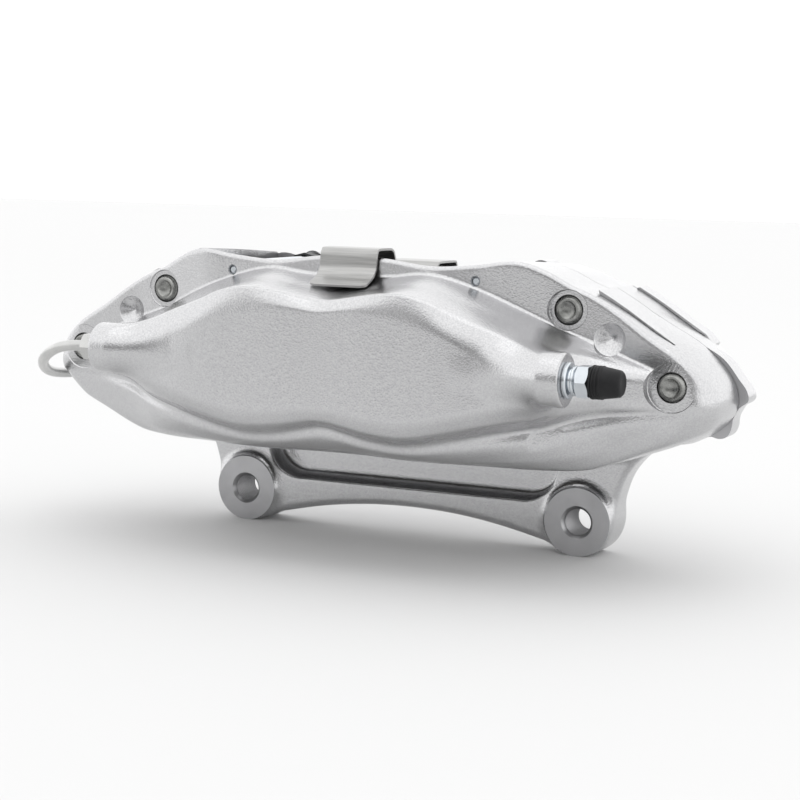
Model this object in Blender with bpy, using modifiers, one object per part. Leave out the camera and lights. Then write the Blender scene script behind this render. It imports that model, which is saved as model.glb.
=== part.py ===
"""Four-piston fixed brake caliper, axial lug mount, for a 355 x 30 mm ventilated disc.

Frame: +X along the mounting line, +Y inboard (towards the vehicle), +Z away from the wheel axis.
The origin lies midway between the two mounting bolt axes, on the plane of the lugs' inboard faces.
All sizes below are millimetres; at() turns them into metres in the world frame.
Depth is given as v, the distance from the disc's centre plane (negative is outboard).
"""

import math

import bmesh
import bpy
from mathutils import Matrix, Vector

MM = 0.001
SIDES = (("outboard", -1), ("inboard", 1))
HANDS = (("left", -1), ("right", 1))
GAP = 0.3                      # clearance between pieces that touch

# Mounting lugs
LUG_SPACING = 152.0
LUG_RADIUS = 13.2
LUG_BORE_RADIUS = 5.4          # M12 x 1.25 tapping bore
LUG_FACE_V = 19.0
LUG_MATE_V = 37.5
DISC_Y = -LUG_MATE_V           # world Y of the disc's centre plane

# Disc and the slot it turns in
DISC_AXIS_Z = -87.0
DISC_RADIUS = 177.5
SLOT_RADIUS = DISC_RADIUS + 3.5
SLOT_HALF = 17.5

# Casting halves
PARTING = 0.15                 # half of the gap at the parting plane
RIM_V = 28.5                   # face of the flat rim at the two ends
WALL_V = 35.0                  # face of the top wall, between the bridges
CAVITY_V = 32.5                # piston side of the pad cavity
CAVITY_X = 69.0
PANEL_V = 64.2                 # crown of the piston housings
BOSS_V = 57.5                  # axis of the fluid bosses
BOSS_Z = 65.5
BOSS_END_X = 98.4
BOSS_RADIUS = 10.0
FLUID_BORE_RADIUS = 4.3
FLUID_BORE_DEPTH = 15.0
DRILLING_RADIUS = 1.6          # cross drilling between the two bosses of a half
BLEEDER_FLATS = 11.0
INLET_FACE_V = 67.0
INLET_RADIUS = 11.0
INLET_BORE_RADIUS = 4.5

# Bridge bolts (M10), pad pins and cast dimples, as (x, z) for the right-hand side
BOLT_PLACES = {"upper": (87.2, 88.0), "lower": (127.5, 62.0)}
BOLT_SPOT_RADIUS = {"upper": 7.8, "lower": 10.0}
BOLT_RADIUS = 5.0
BOLT_FLATS = 12.0              # across the flats of the bolt heads
BOLT_SEAT_V = 27.8
THREAD_END_V = 29.2            # the bolts' thread ends, in the outboard half
DIMPLE_PLACE = (103.7, 78.3)
DIMPLE_RADIUS = 5.7
PIN_X, PIN_Z = 52.3, 97.3
PIN_RADIUS = 3.5
PIN_TIP_V = -35.0
PUNCH_RADIUS = 2.4             # holes that the pins are driven out through
PIN_BOSS_V = 45.0
PIN_BOSS_RADIUS = 5.6
COLLAR_RADIUS = 4.4
COLLAR_LENGTH = 7.0

# Pistons: the trailing one on each side is larger
PISTON_X, PISTON_Z = 35.0, 62.5
PISTON_RADIUS = {"left": 20.0, "right": 22.0}
PISTON_NOSE_V = 31.7
PISTON_LENGTH = 22.0
PISTON_WALL = 3.0
PISTON_CLEARANCE = 0.1
BORE_END_V = 56.5
SEAL_V = 43.0
SEAL_WIDTH = 3.2
SEAL_DEPTH = 3.0
DUST_WIDTH = 3.0
DUST_DEPTH = 2.6
ROUND = 24                     # sides of the pistons and their bores

# Pads
LINING_FACE_V = 15.6
LINING_THICKNESS = 9.2
PLATE_THICKNESS = 5.4
SHIM_THICKNESS = 0.5
PAD_GAP = 0.2

# Outlines of the halves, right-hand side, from top centre to bottom centre (x, z). The inboard
# half's top is lower.
RIM_END = [(97, 93.6), (108, 87.0), (118, 79.8), (129, 72.9), (138.4, 63.8), (141.6, 55.2), (138, 48.2),
           (130, 43.0), (117, 37.2), (103, 31.2), (90, 28.4), (60, 27.6), (0, 27.6)]
RIM_TOP = {-1: [(0, 106.0), (14, 105.2), (34, 103.0), (52, 104.3), (69, 106.0), (79, 102.6), (88, 97.9)],
           1: [(0, 98.6), (14, 98.4), (34, 98.4), (52, 99.4), (69, 101.4), (79, 99.6), (88, 96.6)]}
BODY_MIDDLE = (0, 67.0)
RIM_CHAMFER = 0.015            # part of the way to the middle that the rim's edge is drawn in
WALL_POINTS = 5                # points of RIM_TOP that the top wall reaches along
WALL_FOOT_Z = 88.0

# Sections of the piston housings, right-hand side, as (depth v, points)
HOUSING = [
    (26.5, [(0, 96.0), (18, 96.0), (36, 97.5), (56, 94.5), (76, 87.0), (97, 76.0), (114, 64.0),
            (124, 54.0), (122, 45.0), (104, 34.5), (78, 30.0), (40, 29.0), (0, 29.5)]),
    (48.0, [(0, 88.0), (18, 89.5), (36, 93.2), (55, 91.0), (72, 83.0), (88, 73.0), (99, 64.0),
            (105, 56.0), (103, 46.5), (92, 38.0), (72, 32.5), (38, 31.0), (0, 32.5)]),
    (60.0, [(0, 88.3), (17, 90.8), (33, 92.2), (50, 88.8), (64, 82.0), (75, 74.0), (81, 66.0),
            (82, 58.0), (79, 49.0), (73, 42.5), (56, 38.0), (36, 36.6), (0, 40.4)]),
    (PANEL_V, [(0, 84.5), (16, 86.0), (31, 86.0), (45, 83.0), (56, 77.5), (63, 72.0), (66.5, 66.0),
               (67, 59.0), (66, 52.0), (62, 48.5), (50, 47.0), (34, 46.0), (0, 49.0)]),
]

# Low machined land on each bridge's slope, across the parting plane (x, z)
LAND = [(96.0, 95.0), (108, 88.0), (118, 80.6), (126, 74.6), (122, 70.0), (98, 86.0)]
LAND_REACH = {-1: 20.5, 1: 19.0}

# Lug bracket below the inboard half, right-hand side, closed through the body above (x, z)
BRACKET = [(0, 36.0), (112, 36.0), (106, 30.5), (98, 25.5), (93, 19.0), (90, 10.0), (88.6, 0.0),
           (84, -9.0), (74, -12.6), (60, -9.2), (40, -5.2), (20, -2.6), (0, -1.8)]
BRACKET_V = 21.5
SHELF_Z = 28.5                 # floor under the inboard pad
TROUGH_V, TROUGH_Z = 20.0, 14.5
TROUGH_RADIUS, TROUGH_HALF = 9.5, 47.0

# Ears on the inboard half's right-hand end (x, z)
END_EARS = [(120, 70.0), (133, 72.5), (141, 68.0), (147.5, 60.0), (150.5, 56.0), (148.0, 53.2),
            (142.5, 53.0), (141.0, 50.6), (144.0, 48.4), (145.0, 45.4), (142.0, 42.2), (137.5, 42.6),
            (133, 46.0), (122, 50.0)]
END_EARS_DEPTH = 14.0

# Backing plate, right-hand side (x, z)
PLATE = [(0, 90.6), (20, 89.6), (38, 87.6), (43.0, 90.0), (44.4, 97.6), (47.6, 101.0), (52.3, 102.2),
         (57.0, 101.0), (60.4, 97.6), (62.0, 90.0), (66.0, 86.0), (68.4, 80.0), (68.4, 52.0),
         (64.0, 36.0), (56.0, 31.5), (0, 31.0)]
LINING = [(0, 87.6), (22, 86.2), (42, 82.2), (58, 76.4), (61.5, 72.0), (60.5, 54.0), (56.0, 38.0),
          (50.0, 34.0), (0, 33.0)]
PAD_MIDDLE = (0, 60.0)
SHIM_MARGIN = 0.04             # the shim is this much smaller than the lining

# Crossover tube, left-hand side from the outboard nut to the plane of symmetry (x, v, z)
TUBE_RADIUS = 2.4
TUBE_HALF = [(-88.0, -57.5, 65.5), (-100.0, -57.5, 65.5), (-112.0, -57.5, 65.4), (-121.0, -56.0, 63.6),
             (-131.5, -49.5, 59.0), (-139.5, -39.5, 54.2), (-144.6, -27.5, 50.4), (-146.8, -14.0, 48.4),
             (-147.2, 0.0, 48.0)]

# Anti-rattle clip: its side profile from outboard to inboard (v, z)
CLIP_WIDTH = 24.2
CLIP_THICKNESS = 0.9
CLIP_LINE = [(-46.5, 92.6), (-43.5, 94.2), (-40.8, 97.0), (-39.6, 100.4), (-39.4, 105.4), (-38.6, 107.2),
             (-36.8, 107.9), (-24.0, 107.9), (-21.8, 107.2), (-20.4, 105.4), (-18.0, 98.6),
             (-16.2, 96.4), (-13.6, 95.6), (13.6, 95.6), (16.2, 96.0), (18.0, 97.0), (20.4, 98.8),
             (21.8, 99.8), (24.0, 100.2), (36.8, 100.2), (38.6, 99.8), (39.4, 98.6), (39.7, 97.0),
             (40.8, 95.2), (43.5, 93.6), (46.5, 92.4)]
CLIP_ARM = [(9.0, 95.6), (12.0, 95.6), (17.0, 97.8), (24.0, 98.0), (34.0, 93.0), (40.0, 91.2), (42.0, 91.6)]
CLIP_ARM_V, CLIP_ARM_HALF = 12.0, 2.2

COLOURS = {
    "cast_aluminium": ((0.78, 0.78, 0.79), 0.42, 0.9),
    "machined_steel": ((0.55, 0.56, 0.57), 0.3, 1.0),
    "zinc_steel": ((0.74, 0.76, 0.78), 0.25, 1.0),
    "stainless_sheet": ((0.6, 0.6, 0.6), 0.3, 1.0),
    "black_rubber": ((0.02, 0.02, 0.02), 0.6, 0.0),
    "friction_lining": ((0.16, 0.14, 0.13), 0.9, 0.0),
    "backing_steel": ((0.05, 0.05, 0.055), 0.5, 0.3),
    "piston_alloy": ((0.62, 0.6, 0.55), 0.35, 1.0),
}
DETAIL_MERGE = 0.00002         # weld distance, metres


# ---------------------------------------------------------------- scene and helpers

def clear_scene():
    for obj in list(bpy.data.objects):
        bpy.data.objects.remove(obj, do_unlink=True)


def new_collection(name, hidden=False):
    collection = bpy.data.collections.new(name)
    bpy.context.scene.collection.children.link(collection)
    collection.hide_render = hidden
    return collection


def at(x, v, z):
    """World position of a point given as x, depth from the disc plane and height."""
    return Vector((x, v + DISC_Y, z)) * MM


def material(name):
    found = bpy.data.materials.get(name)
    if found:
        return found
    colour, roughness, metallic = COLOURS[name]
    made = bpy.data.materials.new(name)
    made.use_nodes = True
    shader = made.node_tree.nodes["Principled BSDF"]
    shader.inputs["Base Color"].default_value = (*colour, 1.0)
    shader.inputs["Roughness"].default_value = roughness
    shader.inputs["Metallic"].default_value = metallic
    return made


def add_mesh(name, mesh_bm, target, finish="cast_aluminium", origin=None):
    """Turns a bmesh in world metres into an object whose origin is at `origin`."""
    bmesh.ops.remove_doubles(mesh_bm, verts=mesh_bm.verts, dist=DETAIL_MERGE)
    bmesh.ops.recalc_face_normals(mesh_bm, faces=mesh_bm.faces)
    origin = origin or Vector((0, 0, 0))
    bmesh.ops.translate(mesh_bm, verts=mesh_bm.verts, vec=-origin)
    mesh = bpy.data.meshes.new(name)
    mesh_bm.to_mesh(mesh)
    mesh_bm.free()
    mesh.shade_smooth()
    mesh.set_sharp_from_angle(angle=math.radians(30))
    mesh.materials.append(material(finish))
    obj = bpy.data.objects.new(name, mesh)
    obj.location = origin
    target.objects.link(obj)
    if target.hide_render:
        obj.hide_render = True
        obj.display_type = "WIRE"
    return obj


def mirrored_loop(right):
    """Closed loop from its right-hand half, which starts and ends on the centre line."""
    return right + [(-x, z) for x, z in reversed(right[1:-1])]


def smooth_loop(points, steps):
    """Closed Catmull-Rom curve through `points`, with `steps` segments in each span."""
    count = len(points)
    made = []
    for i in range(count):
        before, start, end, after = (Vector(points[(i + k) % count]) for k in (-1, 0, 1, 2))
        for step in range(steps):
            t = step / steps
            made.append(0.5 * (2 * start + (end - before) * t
                               + (2 * before - 5 * start + 4 * end - after) * t ** 2
                               + (3 * start - before - 3 * end + after) * t ** 3))
    return made


def smooth_path(points, steps):
    """Open Catmull-Rom curve through 3-D points."""
    ends = [2 * Vector(points[0]) - Vector(points[1])] + [Vector(p) for p in points]
    ends.append(2 * Vector(points[-1]) - Vector(points[-2]))
    made = []
    for i in range(len(points) - 1):
        before, start, end, after = ends[i:i + 4]
        for step in range(steps):
            t = step / steps
            made.append(0.5 * (2 * start + (end - before) * t
                               + (2 * before - 5 * start + 4 * end - after) * t ** 2
                               + (3 * start - before - 3 * end + after) * t ** 3))
    return made + [Vector(points[-1])]


def sections(levels):
    """bmesh lofted through (depth, loop) levels that all have the same number of points."""
    made = bmesh.new()
    rings = []
    for depth, loop in levels:
        rings.append([made.verts.new(at(x, depth, z)) for x, z in loop])
    for lower, upper in zip(rings, rings[1:]):
        for i, vert in enumerate(lower):
            follow = (i + 1) % len(lower)
            made.faces.new((vert, lower[follow], upper[follow], upper[i]))
    made.faces.new(rings[0])
    made.faces.new(list(reversed(rings[-1])))
    return made


def round_bar(name, start, end, radius, target, sides=16, tip=None, finish="cast_aluminium"):
    """Cylinder, or cone when tip is given, between two (x, v, z) points."""
    first, last = at(*start), at(*end)
    made = bmesh.new()
    turn = (last - first).to_track_quat("Z", "X").to_matrix().to_4x4()
    place = Matrix.Translation((first + last) / 2) @ turn
    bmesh.ops.create_cone(made, cap_ends=True, segments=sides, radius1=radius * MM,
                          radius2=(radius if tip is None else tip) * MM,
                          depth=(last - first).length, matrix=place)
    return add_mesh(name, made, target, finish)


def block(name, low, high, target, finish="cast_aluminium"):
    """Box between two (x, v, z) corners."""
    made = bmesh.new()
    first, last = at(*low), at(*high)
    size = Matrix.Diagonal((*(last - first), 1.0))
    bmesh.ops.create_cube(made, size=1.0, matrix=Matrix.Translation((first + last) / 2) @ size)
    return add_mesh(name, made, target, finish)


def prism(name, loop, near, far, target, finish="cast_aluminium", origin=None):
    """Flat outline of (x, z) points, between two depths."""
    return add_mesh(name, sections([(near, loop), (far, loop)]), target, finish, origin)


def turned(name, profile, centre, axis, target, finish, sides=ROUND):
    """Body of revolution made with a Screw modifier.

    profile holds (radius, distance along axis) points in mm, a closed section or one that meets
    the axis. centre is the world position of distance 0 and axis the direction of distance.
    """
    corners = list(zip(profile, profile[1:] + profile[:1]))
    if sum(a[0] * b[1] - b[0] * a[1] for a, b in corners) > 0:
        profile = profile[::-1]
    mesh = bpy.data.meshes.new(name)
    made = bmesh.new()
    verts = [made.verts.new((radius * MM, 0.0, along * MM)) for radius, along in profile]
    for first, second in zip(verts, verts[1:]):
        made.edges.new((first, second))
    if profile[0][0] > 0 and profile[-1][0] > 0:
        made.edges.new((verts[-1], verts[0]))
    made.to_mesh(mesh)
    made.free()
    mesh.materials.append(material(finish))
    obj = bpy.data.objects.new(name, mesh)
    target.objects.link(obj)
    obj.location = centre
    obj.rotation_mode = "QUATERNION"
    obj.rotation_quaternion = Vector(axis).to_track_quat("Z", "X")
    screw = obj.modifiers.new("turn", "SCREW")
    screw.axis = "Z"
    screw.steps = screw.render_steps = sides
    screw.use_merge_vertices = True
    screw.merge_threshold = DETAIL_MERGE
    screw.use_smooth_shade = False
    if target.hide_render:
        obj.hide_render = True
        obj.display_type = "WIRE"
    return obj


def combine(obj, collection, operation):
    change = obj.modifiers.new(operation.lower(), "BOOLEAN")
    change.operation = operation
    change.operand_type = "COLLECTION"
    change.collection = collection
    change.solver = "EXACT"


def combine_one(obj, other, operation):
    change = obj.modifiers.new(operation.lower(), "BOOLEAN")
    change.operation = operation
    change.object = other
    change.solver = "EXACT"


# ---------------------------------------------------------------- casting halves

def bore_profile(radius):
    """Cylinder bore with its seal groove and dust counterbore, from the cavity to the bore's end."""
    wall = radius + PISTON_CLEARANCE
    groove = wall + SEAL_DEPTH
    dust = wall + DUST_DEPTH
    return [(0, -2.0), (dust, -2.0), (dust, DUST_WIDTH + GAP), (wall, DUST_WIDTH + GAP),
            (wall, SEAL_V - CAVITY_V - SEAL_WIDTH / 2), (groove, SEAL_V - CAVITY_V - SEAL_WIDTH / 2),
            (groove, SEAL_V - CAVITY_V + SEAL_WIDTH / 2), (wall, SEAL_V - CAVITY_V + SEAL_WIDTH / 2),
            (wall, BORE_END_V - CAVITY_V), (0, BORE_END_V - CAVITY_V)]


def half_adds(side, name):
    """Shapes that join the rim slab of one half. side is -1 outboard and 1 inboard."""
    adds = new_collection(name + "_adds", hidden=True)
    levels = [(side * depth, smooth_loop(mirrored_loop(points), 2)) for depth, points in HOUSING]
    add_mesh(name + "_housing", sections(levels), adds)
    for hand in (-1, 1):
        round_bar(f"{name}_fluid_boss_{hand}", (hand * 55, side * BOSS_V, BOSS_Z),
                  (hand * BOSS_END_X, side * BOSS_V, BOSS_Z), BOSS_RADIUS, adds, sides=20)
        prism(f"{name}_land_{hand}", [(hand * x, z) for x, z in LAND], side * (PARTING + GAP),
              side * LAND_REACH[side], adds)
    top = RIM_TOP[side][:WALL_POINTS]
    half_wall = top + [(top[-1][0], WALL_FOOT_Z), (0, WALL_FOOT_Z)]
    prism(name + "_top_wall", mirrored_loop(half_wall), side * (RIM_V - 3.0), side * WALL_V, adds)
    return adds


def half_cuts(side, name):
    """Cavities, bores and spot faces that both halves share."""
    cuts = new_collection(name + "_cuts", hidden=True)
    floor = SHELF_Z if side > 0 else 0.0
    block(name + "_pad_cavity", (-CAVITY_X, min(side * CAVITY_V, -side), floor),
          (CAVITY_X, max(side * CAVITY_V, -side), 130), cuts)
    round_bar(name + "_disc_slot", (0, -SLOT_HALF, DISC_AXIS_Z), (0, SLOT_HALF, DISC_AXIS_Z),
              SLOT_RADIUS, cuts, sides=120)
    for hand_name, hand in HANDS:
        turned(f"{name}_bore_{hand_name}", bore_profile(PISTON_RADIUS[hand_name]),
               at(hand * PISTON_X, side * CAVITY_V, PISTON_Z), (0, side, 0), cuts, "cast_aluminium")
        round_bar(f"{name}_fluid_bore_{hand_name}",
                  (hand * (BOSS_END_X - FLUID_BORE_DEPTH), side * BOSS_V, BOSS_Z),
                  (hand * (BOSS_END_X + 1), side * BOSS_V, BOSS_Z), FLUID_BORE_RADIUS, cuts)
        dimple = (hand * DIMPLE_PLACE[0], side * (RIM_V - 3.0), DIMPLE_PLACE[1])
        round_bar(f"{name}_dimple_{hand_name}", dimple,
                  (dimple[0], side * (RIM_V + 3), dimple[2]), 1.5, cuts, tip=2 * DIMPLE_RADIUS - 1.5)
        for row, (x, z) in BOLT_PLACES.items():
            round_bar(f"{name}_bolt_hole_{row}_{hand_name}", (hand * x, side * 60, z),
                      (hand * x, -side, z), BOLT_RADIUS + GAP, cuts)
            round_bar(f"{name}_spot_face_{row}_{hand_name}", (hand * x, side * BOLT_SEAT_V, z),
                      (hand * x, side * 60, z), BOLT_SPOT_RADIUS[row], cuts, sides=24)
    round_bar(name + "_cross_drilling", (-BOSS_END_X + 5, side * BOSS_V, BOSS_Z),
              (BOSS_END_X - 5, side * BOSS_V, BOSS_Z), DRILLING_RADIUS, cuts, sides=8)
    return cuts


def rim_slab(name, side, target):
    loop = smooth_loop(mirrored_loop(RIM_TOP[side] + RIM_END), 2)
    inner = [p.lerp(Vector(BODY_MIDDLE), RIM_CHAMFER) for p in loop]
    levels = [(side * PARTING, loop), (side * (RIM_V - 2.0), loop), (side * RIM_V, inner)]
    return add_mesh(name, sections(levels), target)


def outboard_body(target):
    name = "outboard_body"
    body = rim_slab(name, -1, target)
    adds = half_adds(-1, name)
    cuts = half_cuts(-1, name)
    for hand in (-1, 1):
        place = (hand * PIN_X, PIN_Z)
        round_bar(f"{name}_pin_seat_{hand}", (place[0], -30, place[1]),
                  (place[0], PIN_TIP_V - GAP, place[1]), PIN_RADIUS + GAP, cuts)
        round_bar(f"{name}_punch_hole_{hand}", (place[0], -50, place[1]),
                  (place[0], -30, place[1]), PUNCH_RADIUS, cuts, sides=12)
    combine(body, adds, "UNION")
    combine(body, cuts, "DIFFERENCE")
    return body


def capsule_profile(radius, half, steps):
    """Half outline of a bar with hemispherical ends, of radius `radius` and straight length 2 * half."""
    quarter = [math.pi / 2 * i / steps for i in range(steps + 1)]
    bottom = [(radius * math.sin(a), -half - radius * math.cos(a)) for a in quarter]
    return bottom + [(r, -along) for r, along in reversed(bottom)]


def inboard_body(target):
    name = "inboard_body"
    body = rim_slab(name, 1, target)
    adds = half_adds(1, name)
    cuts = half_cuts(1, name)
    bracket = smooth_loop(mirrored_loop(BRACKET)[2:-1], 2)
    prism(name + "_bracket", bracket, BRACKET_V, LUG_MATE_V - 1.0, adds)
    prism(name + "_end_ears", smooth_loop(END_EARS, 2), PARTING, END_EARS_DEPTH, adds)
    round_bar(name + "_inlet_boss", (0, 55, BOSS_Z), (0, INLET_FACE_V, BOSS_Z), INLET_RADIUS, adds,
              sides=24)
    round_bar(name + "_inlet_port", (0, BOSS_V - 1.0, BOSS_Z), (0, INLET_FACE_V + 2, BOSS_Z),
              INLET_BORE_RADIUS, cuts)
    for hand in (-1, 1):
        x = hand * LUG_SPACING / 2
        round_bar(f"{name}_lug_{hand}", (x, LUG_FACE_V, 0), (x, LUG_MATE_V, 0), LUG_RADIUS, adds, sides=32)
        round_bar(f"{name}_lug_bore_{hand}", (x, LUG_FACE_V - 2, 0), (x, LUG_MATE_V + 2, 0),
                  LUG_BORE_RADIUS, cuts, sides=20)
        round_bar(f"{name}_pin_boss_{hand}", (hand * PIN_X, 33, PIN_Z),
                  (hand * PIN_X, PIN_BOSS_V, PIN_Z), PIN_BOSS_RADIUS, adds)
        round_bar(f"{name}_pin_hole_{hand}", (hand * PIN_X, 30, PIN_Z),
                  (hand * PIN_X, PIN_BOSS_V + 5, PIN_Z), PIN_RADIUS + GAP, cuts)
        round_bar(f"{name}_collar_seat_{hand}", (hand * PIN_X, PIN_BOSS_V - 8, PIN_Z),
                  (hand * PIN_X, PIN_BOSS_V + 5, PIN_Z), COLLAR_RADIUS + GAP, cuts)
    turned(name + "_trough", capsule_profile(TROUGH_RADIUS, TROUGH_HALF, 5), at(0, TROUGH_V, TROUGH_Z),
           (1, 0, 0), cuts, "cast_aluminium", sides=20)
    combine(body, adds, "UNION")
    combine(body, cuts, "DIFFERENCE")
    return body


# ---------------------------------------------------------------- hydraulics

def piston_set(side, side_name, hand, hand_name, target):
    """Piston, square-section pressure seal and dust seal of one bore."""
    radius = PISTON_RADIUS[hand_name]
    inner = radius - PISTON_WALL
    nose = at(hand * PISTON_X, side * PISTON_NOSE_V, PISTON_Z)
    cup = [(0, PISTON_LENGTH), (radius - 0.8, PISTON_LENGTH), (radius, PISTON_LENGTH - 1.2), (radius, 0),
           (inner, 0), (inner, PISTON_LENGTH - 5.0), (0, PISTON_LENGTH - 5.0)]
    turned(f"piston_{side_name}_{hand_name}", cup, nose, (0, side, 0), target, "piston_alloy")
    touch = radius + 2 * PISTON_CLEARANCE
    seal_out = radius + SEAL_DEPTH - 0.2
    half = SEAL_WIDTH / 2 - 0.15
    ring = [(touch, -half), (touch, half), (seal_out, half), (seal_out, -half)]
    turned(f"pressure_seal_{side_name}_{hand_name}", ring,
           at(hand * PISTON_X, side * SEAL_V, PISTON_Z), (0, side, 0), target, "black_rubber")
    dust_out = radius + DUST_DEPTH - 0.2
    lip = [(touch, 0.2), (touch, 1.6), (touch + 0.9, DUST_WIDTH), (dust_out, DUST_WIDTH), (dust_out, 0.2)]
    turned(f"dust_seal_{side_name}_{hand_name}", lip,
           at(hand * PISTON_X, side * CAVITY_V, PISTON_Z), (0, side, 0), target, "black_rubber")


def hexagon(name, start, end, across_flats, target, finish):
    return round_bar(name, start, end, across_flats / math.sqrt(3), target, sides=6, finish=finish)


def bleeder(side, side_name, helpers, target):
    """Bleeder screw with hexagon and nipple, and its rubber cap, on the right-hand boss."""
    v = side * BOSS_V
    start = BOSS_END_X
    screw = turned(f"bleeder_screw_{side_name}",
                   [(0, -13.0), (2.0, -13.0), (4.0, -10.0), (4.0, 0.6), (3.4, 0.9), (3.4, 2.2), (4.6, 2.4),
                    (4.6, 6.3), (2.9, 7.0), (2.9, 9.4), (3.5, 10.6), (2.7, 13.5), (2.3, 17.2), (0, 17.2)],
                   at(start, v, BOSS_Z), (1, 0, 0), target, "zinc_steel", sides=12)
    flats = hexagon(f"bleeder_hexagon_{side_name}", (start + 2.4, v, BOSS_Z),
                    (start + 6.4, v, BOSS_Z), BLEEDER_FLATS, helpers, "zinc_steel")
    combine_one(screw, flats, "UNION")
    cap_wall = [(3.9, 6.8), (6.0, 6.8), (6.2, 8.0), (5.9, 9.2), (5.6, 18.4), (4.8, 20.4), (0, 20.9),
                (0, 18.0), (3.9, 18.0)]
    turned(f"bleeder_cap_{side_name}", cap_wall, at(start, v, BOSS_Z), (1, 0, 0), target,
           "black_rubber", sides=20)


def crossover_tube(target):
    """Steel tube that joins the two halves round the left-hand end, with its flare nuts."""
    far_half = [(x, -v, z) for x, v, z in reversed(TUBE_HALF[:-1])]
    route = smooth_path([at(*point) for point in TUBE_HALF + far_half], 2)
    curve = bpy.data.curves.new("crossover_tube", "CURVE")
    curve.dimensions = "3D"
    curve.bevel_depth = TUBE_RADIUS * MM
    curve.bevel_resolution = 2
    curve.use_fill_caps = True
    spline = curve.splines.new("POLY")
    spline.points.add(len(route) - 1)
    for point, place in zip(spline.points, route):
        point.co = (*place, 1.0)
    curve.materials.append(material("zinc_steel"))
    target.objects.link(bpy.data.objects.new("crossover_tube", curve))
    hole = (TUBE_RADIUS + GAP) / math.cos(math.pi / 6)
    for side_name, side in SIDES:
        ring = [(hole, -12.0), (4.0, -12.0), (4.0, 0.6), (5.6, 0.8), (5.6, 6.4), (4.8, 7.0), (hole, 7.0)]
        turned(f"tube_nut_{side_name}", ring, at(-BOSS_END_X, side * BOSS_V, BOSS_Z), (-1, 0, 0),
               target, "zinc_steel", sides=6)


# ---------------------------------------------------------------- bolts, pins, pads, clip

def bridge_bolt(row, hand, hand_name, helpers, target):
    """M10 flange bolt put in from inboard; its thread ends just inside the outboard spot face."""
    x, z = BOLT_PLACES[row]
    seat = at(hand * x, BOLT_SEAT_V + GAP, z)
    length = BOLT_SEAT_V + GAP + THREAD_END_V
    flange = BOLT_SPOT_RADIUS["upper"] - GAP
    bolt = turned(f"bridge_bolt_{row}_{hand_name}",
                  [(0, -length), (BOLT_RADIUS - 1.0, -length), (BOLT_RADIUS, 1.2 - length), (BOLT_RADIUS, 0),
                   (flange, 0), (flange, 1.6), (6.0, 2.4), (6.0, 8.6), (5.0, 9.2), (0, 9.2)],
                  seat, (0, 1, 0), target, "machined_steel", sides=12)
    place = (hand * x, BOLT_SEAT_V + GAP, z)
    flats = hexagon(f"bolt_flats_{row}_{hand_name}", (place[0], place[1] + 2.0, z),
                    (place[0], place[1] + 9.0, z), BOLT_FLATS, helpers, "machined_steel")
    combine_one(bolt, flats, "UNION")


def pad_pin(hand, hand_name, target):
    """Pad retaining pin, driven in from the inboard side, and its split spring collar."""
    x = hand * PIN_X
    tip = PIN_TIP_V
    head = PIN_BOSS_V + 3.0
    turned(f"pad_pin_{hand_name}",
           [(0, tip), (PIN_RADIUS - 0.8, tip), (PIN_RADIUS, tip + 1.5), (PIN_RADIUS, PIN_BOSS_V - 7.4),
            (3.2, PIN_BOSS_V - 7.4), (3.2, PIN_BOSS_V + 0.4), (4.8, PIN_BOSS_V + 0.6),
            (4.8, head - 0.8), (4.2, head), (0, head)],
           at(x, 0, PIN_Z), (0, 1, 0), target, "zinc_steel", sides=12)
    collar = [(PIN_RADIUS, -COLLAR_LENGTH), (PIN_RADIUS, -0.2), (COLLAR_RADIUS, -0.2),
              (COLLAR_RADIUS, -COLLAR_LENGTH)]
    turned(f"pin_collar_{hand_name}", collar, at(x, PIN_BOSS_V, PIN_Z), (0, 1, 0), target,
           "stainless_sheet", sides=16)


def pad(side, side_name, target):
    """Backing plate with two pin eyes, friction lining with its centre slot, and the noise shim."""
    face = LINING_FACE_V
    lining_back = face + LINING_THICKNESS
    plate_face = lining_back + PAD_GAP
    plate_back = plate_face + PLATE_THICKNESS
    shim_face = plate_back + PAD_GAP
    cuts = new_collection(f"pad_{side_name}_cuts", hidden=True)
    for hand in (-1, 1):
        round_bar(f"pad_{side_name}_eye_{hand}", (hand * PIN_X, side * 10, PIN_Z),
                  (hand * PIN_X, side * 40, PIN_Z), PIN_RADIUS + 0.5, cuts)
    centre = at(0, side * plate_face, PISTON_Z)
    plate = prism(f"pad_backing_plate_{side_name}", smooth_loop(mirrored_loop(PLATE), 1),
                  side * plate_face, side * plate_back, target, "backing_steel", centre)
    combine(plate, cuts, "DIFFERENCE")
    lining = prism(f"pad_lining_{side_name}", smooth_loop(mirrored_loop(LINING), 1),
                   side * face, side * lining_back, target, "friction_lining", centre)
    slot = block(f"pad_slot_{side_name}", (-1.2, min(side * (face - 1), side * (face + 6)), 20),
                 (1.2, max(side * (face - 1), side * (face + 6)), 100), cuts)
    combine_one(lining, slot, "DIFFERENCE")
    shim_loop = [p.lerp(Vector(PAD_MIDDLE), SHIM_MARGIN) for p in smooth_loop(mirrored_loop(LINING), 1)]
    prism(f"pad_shim_{side_name}", shim_loop, side * shim_face,
          side * (shim_face + SHIM_THICKNESS), target, "stainless_sheet", centre)


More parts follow.
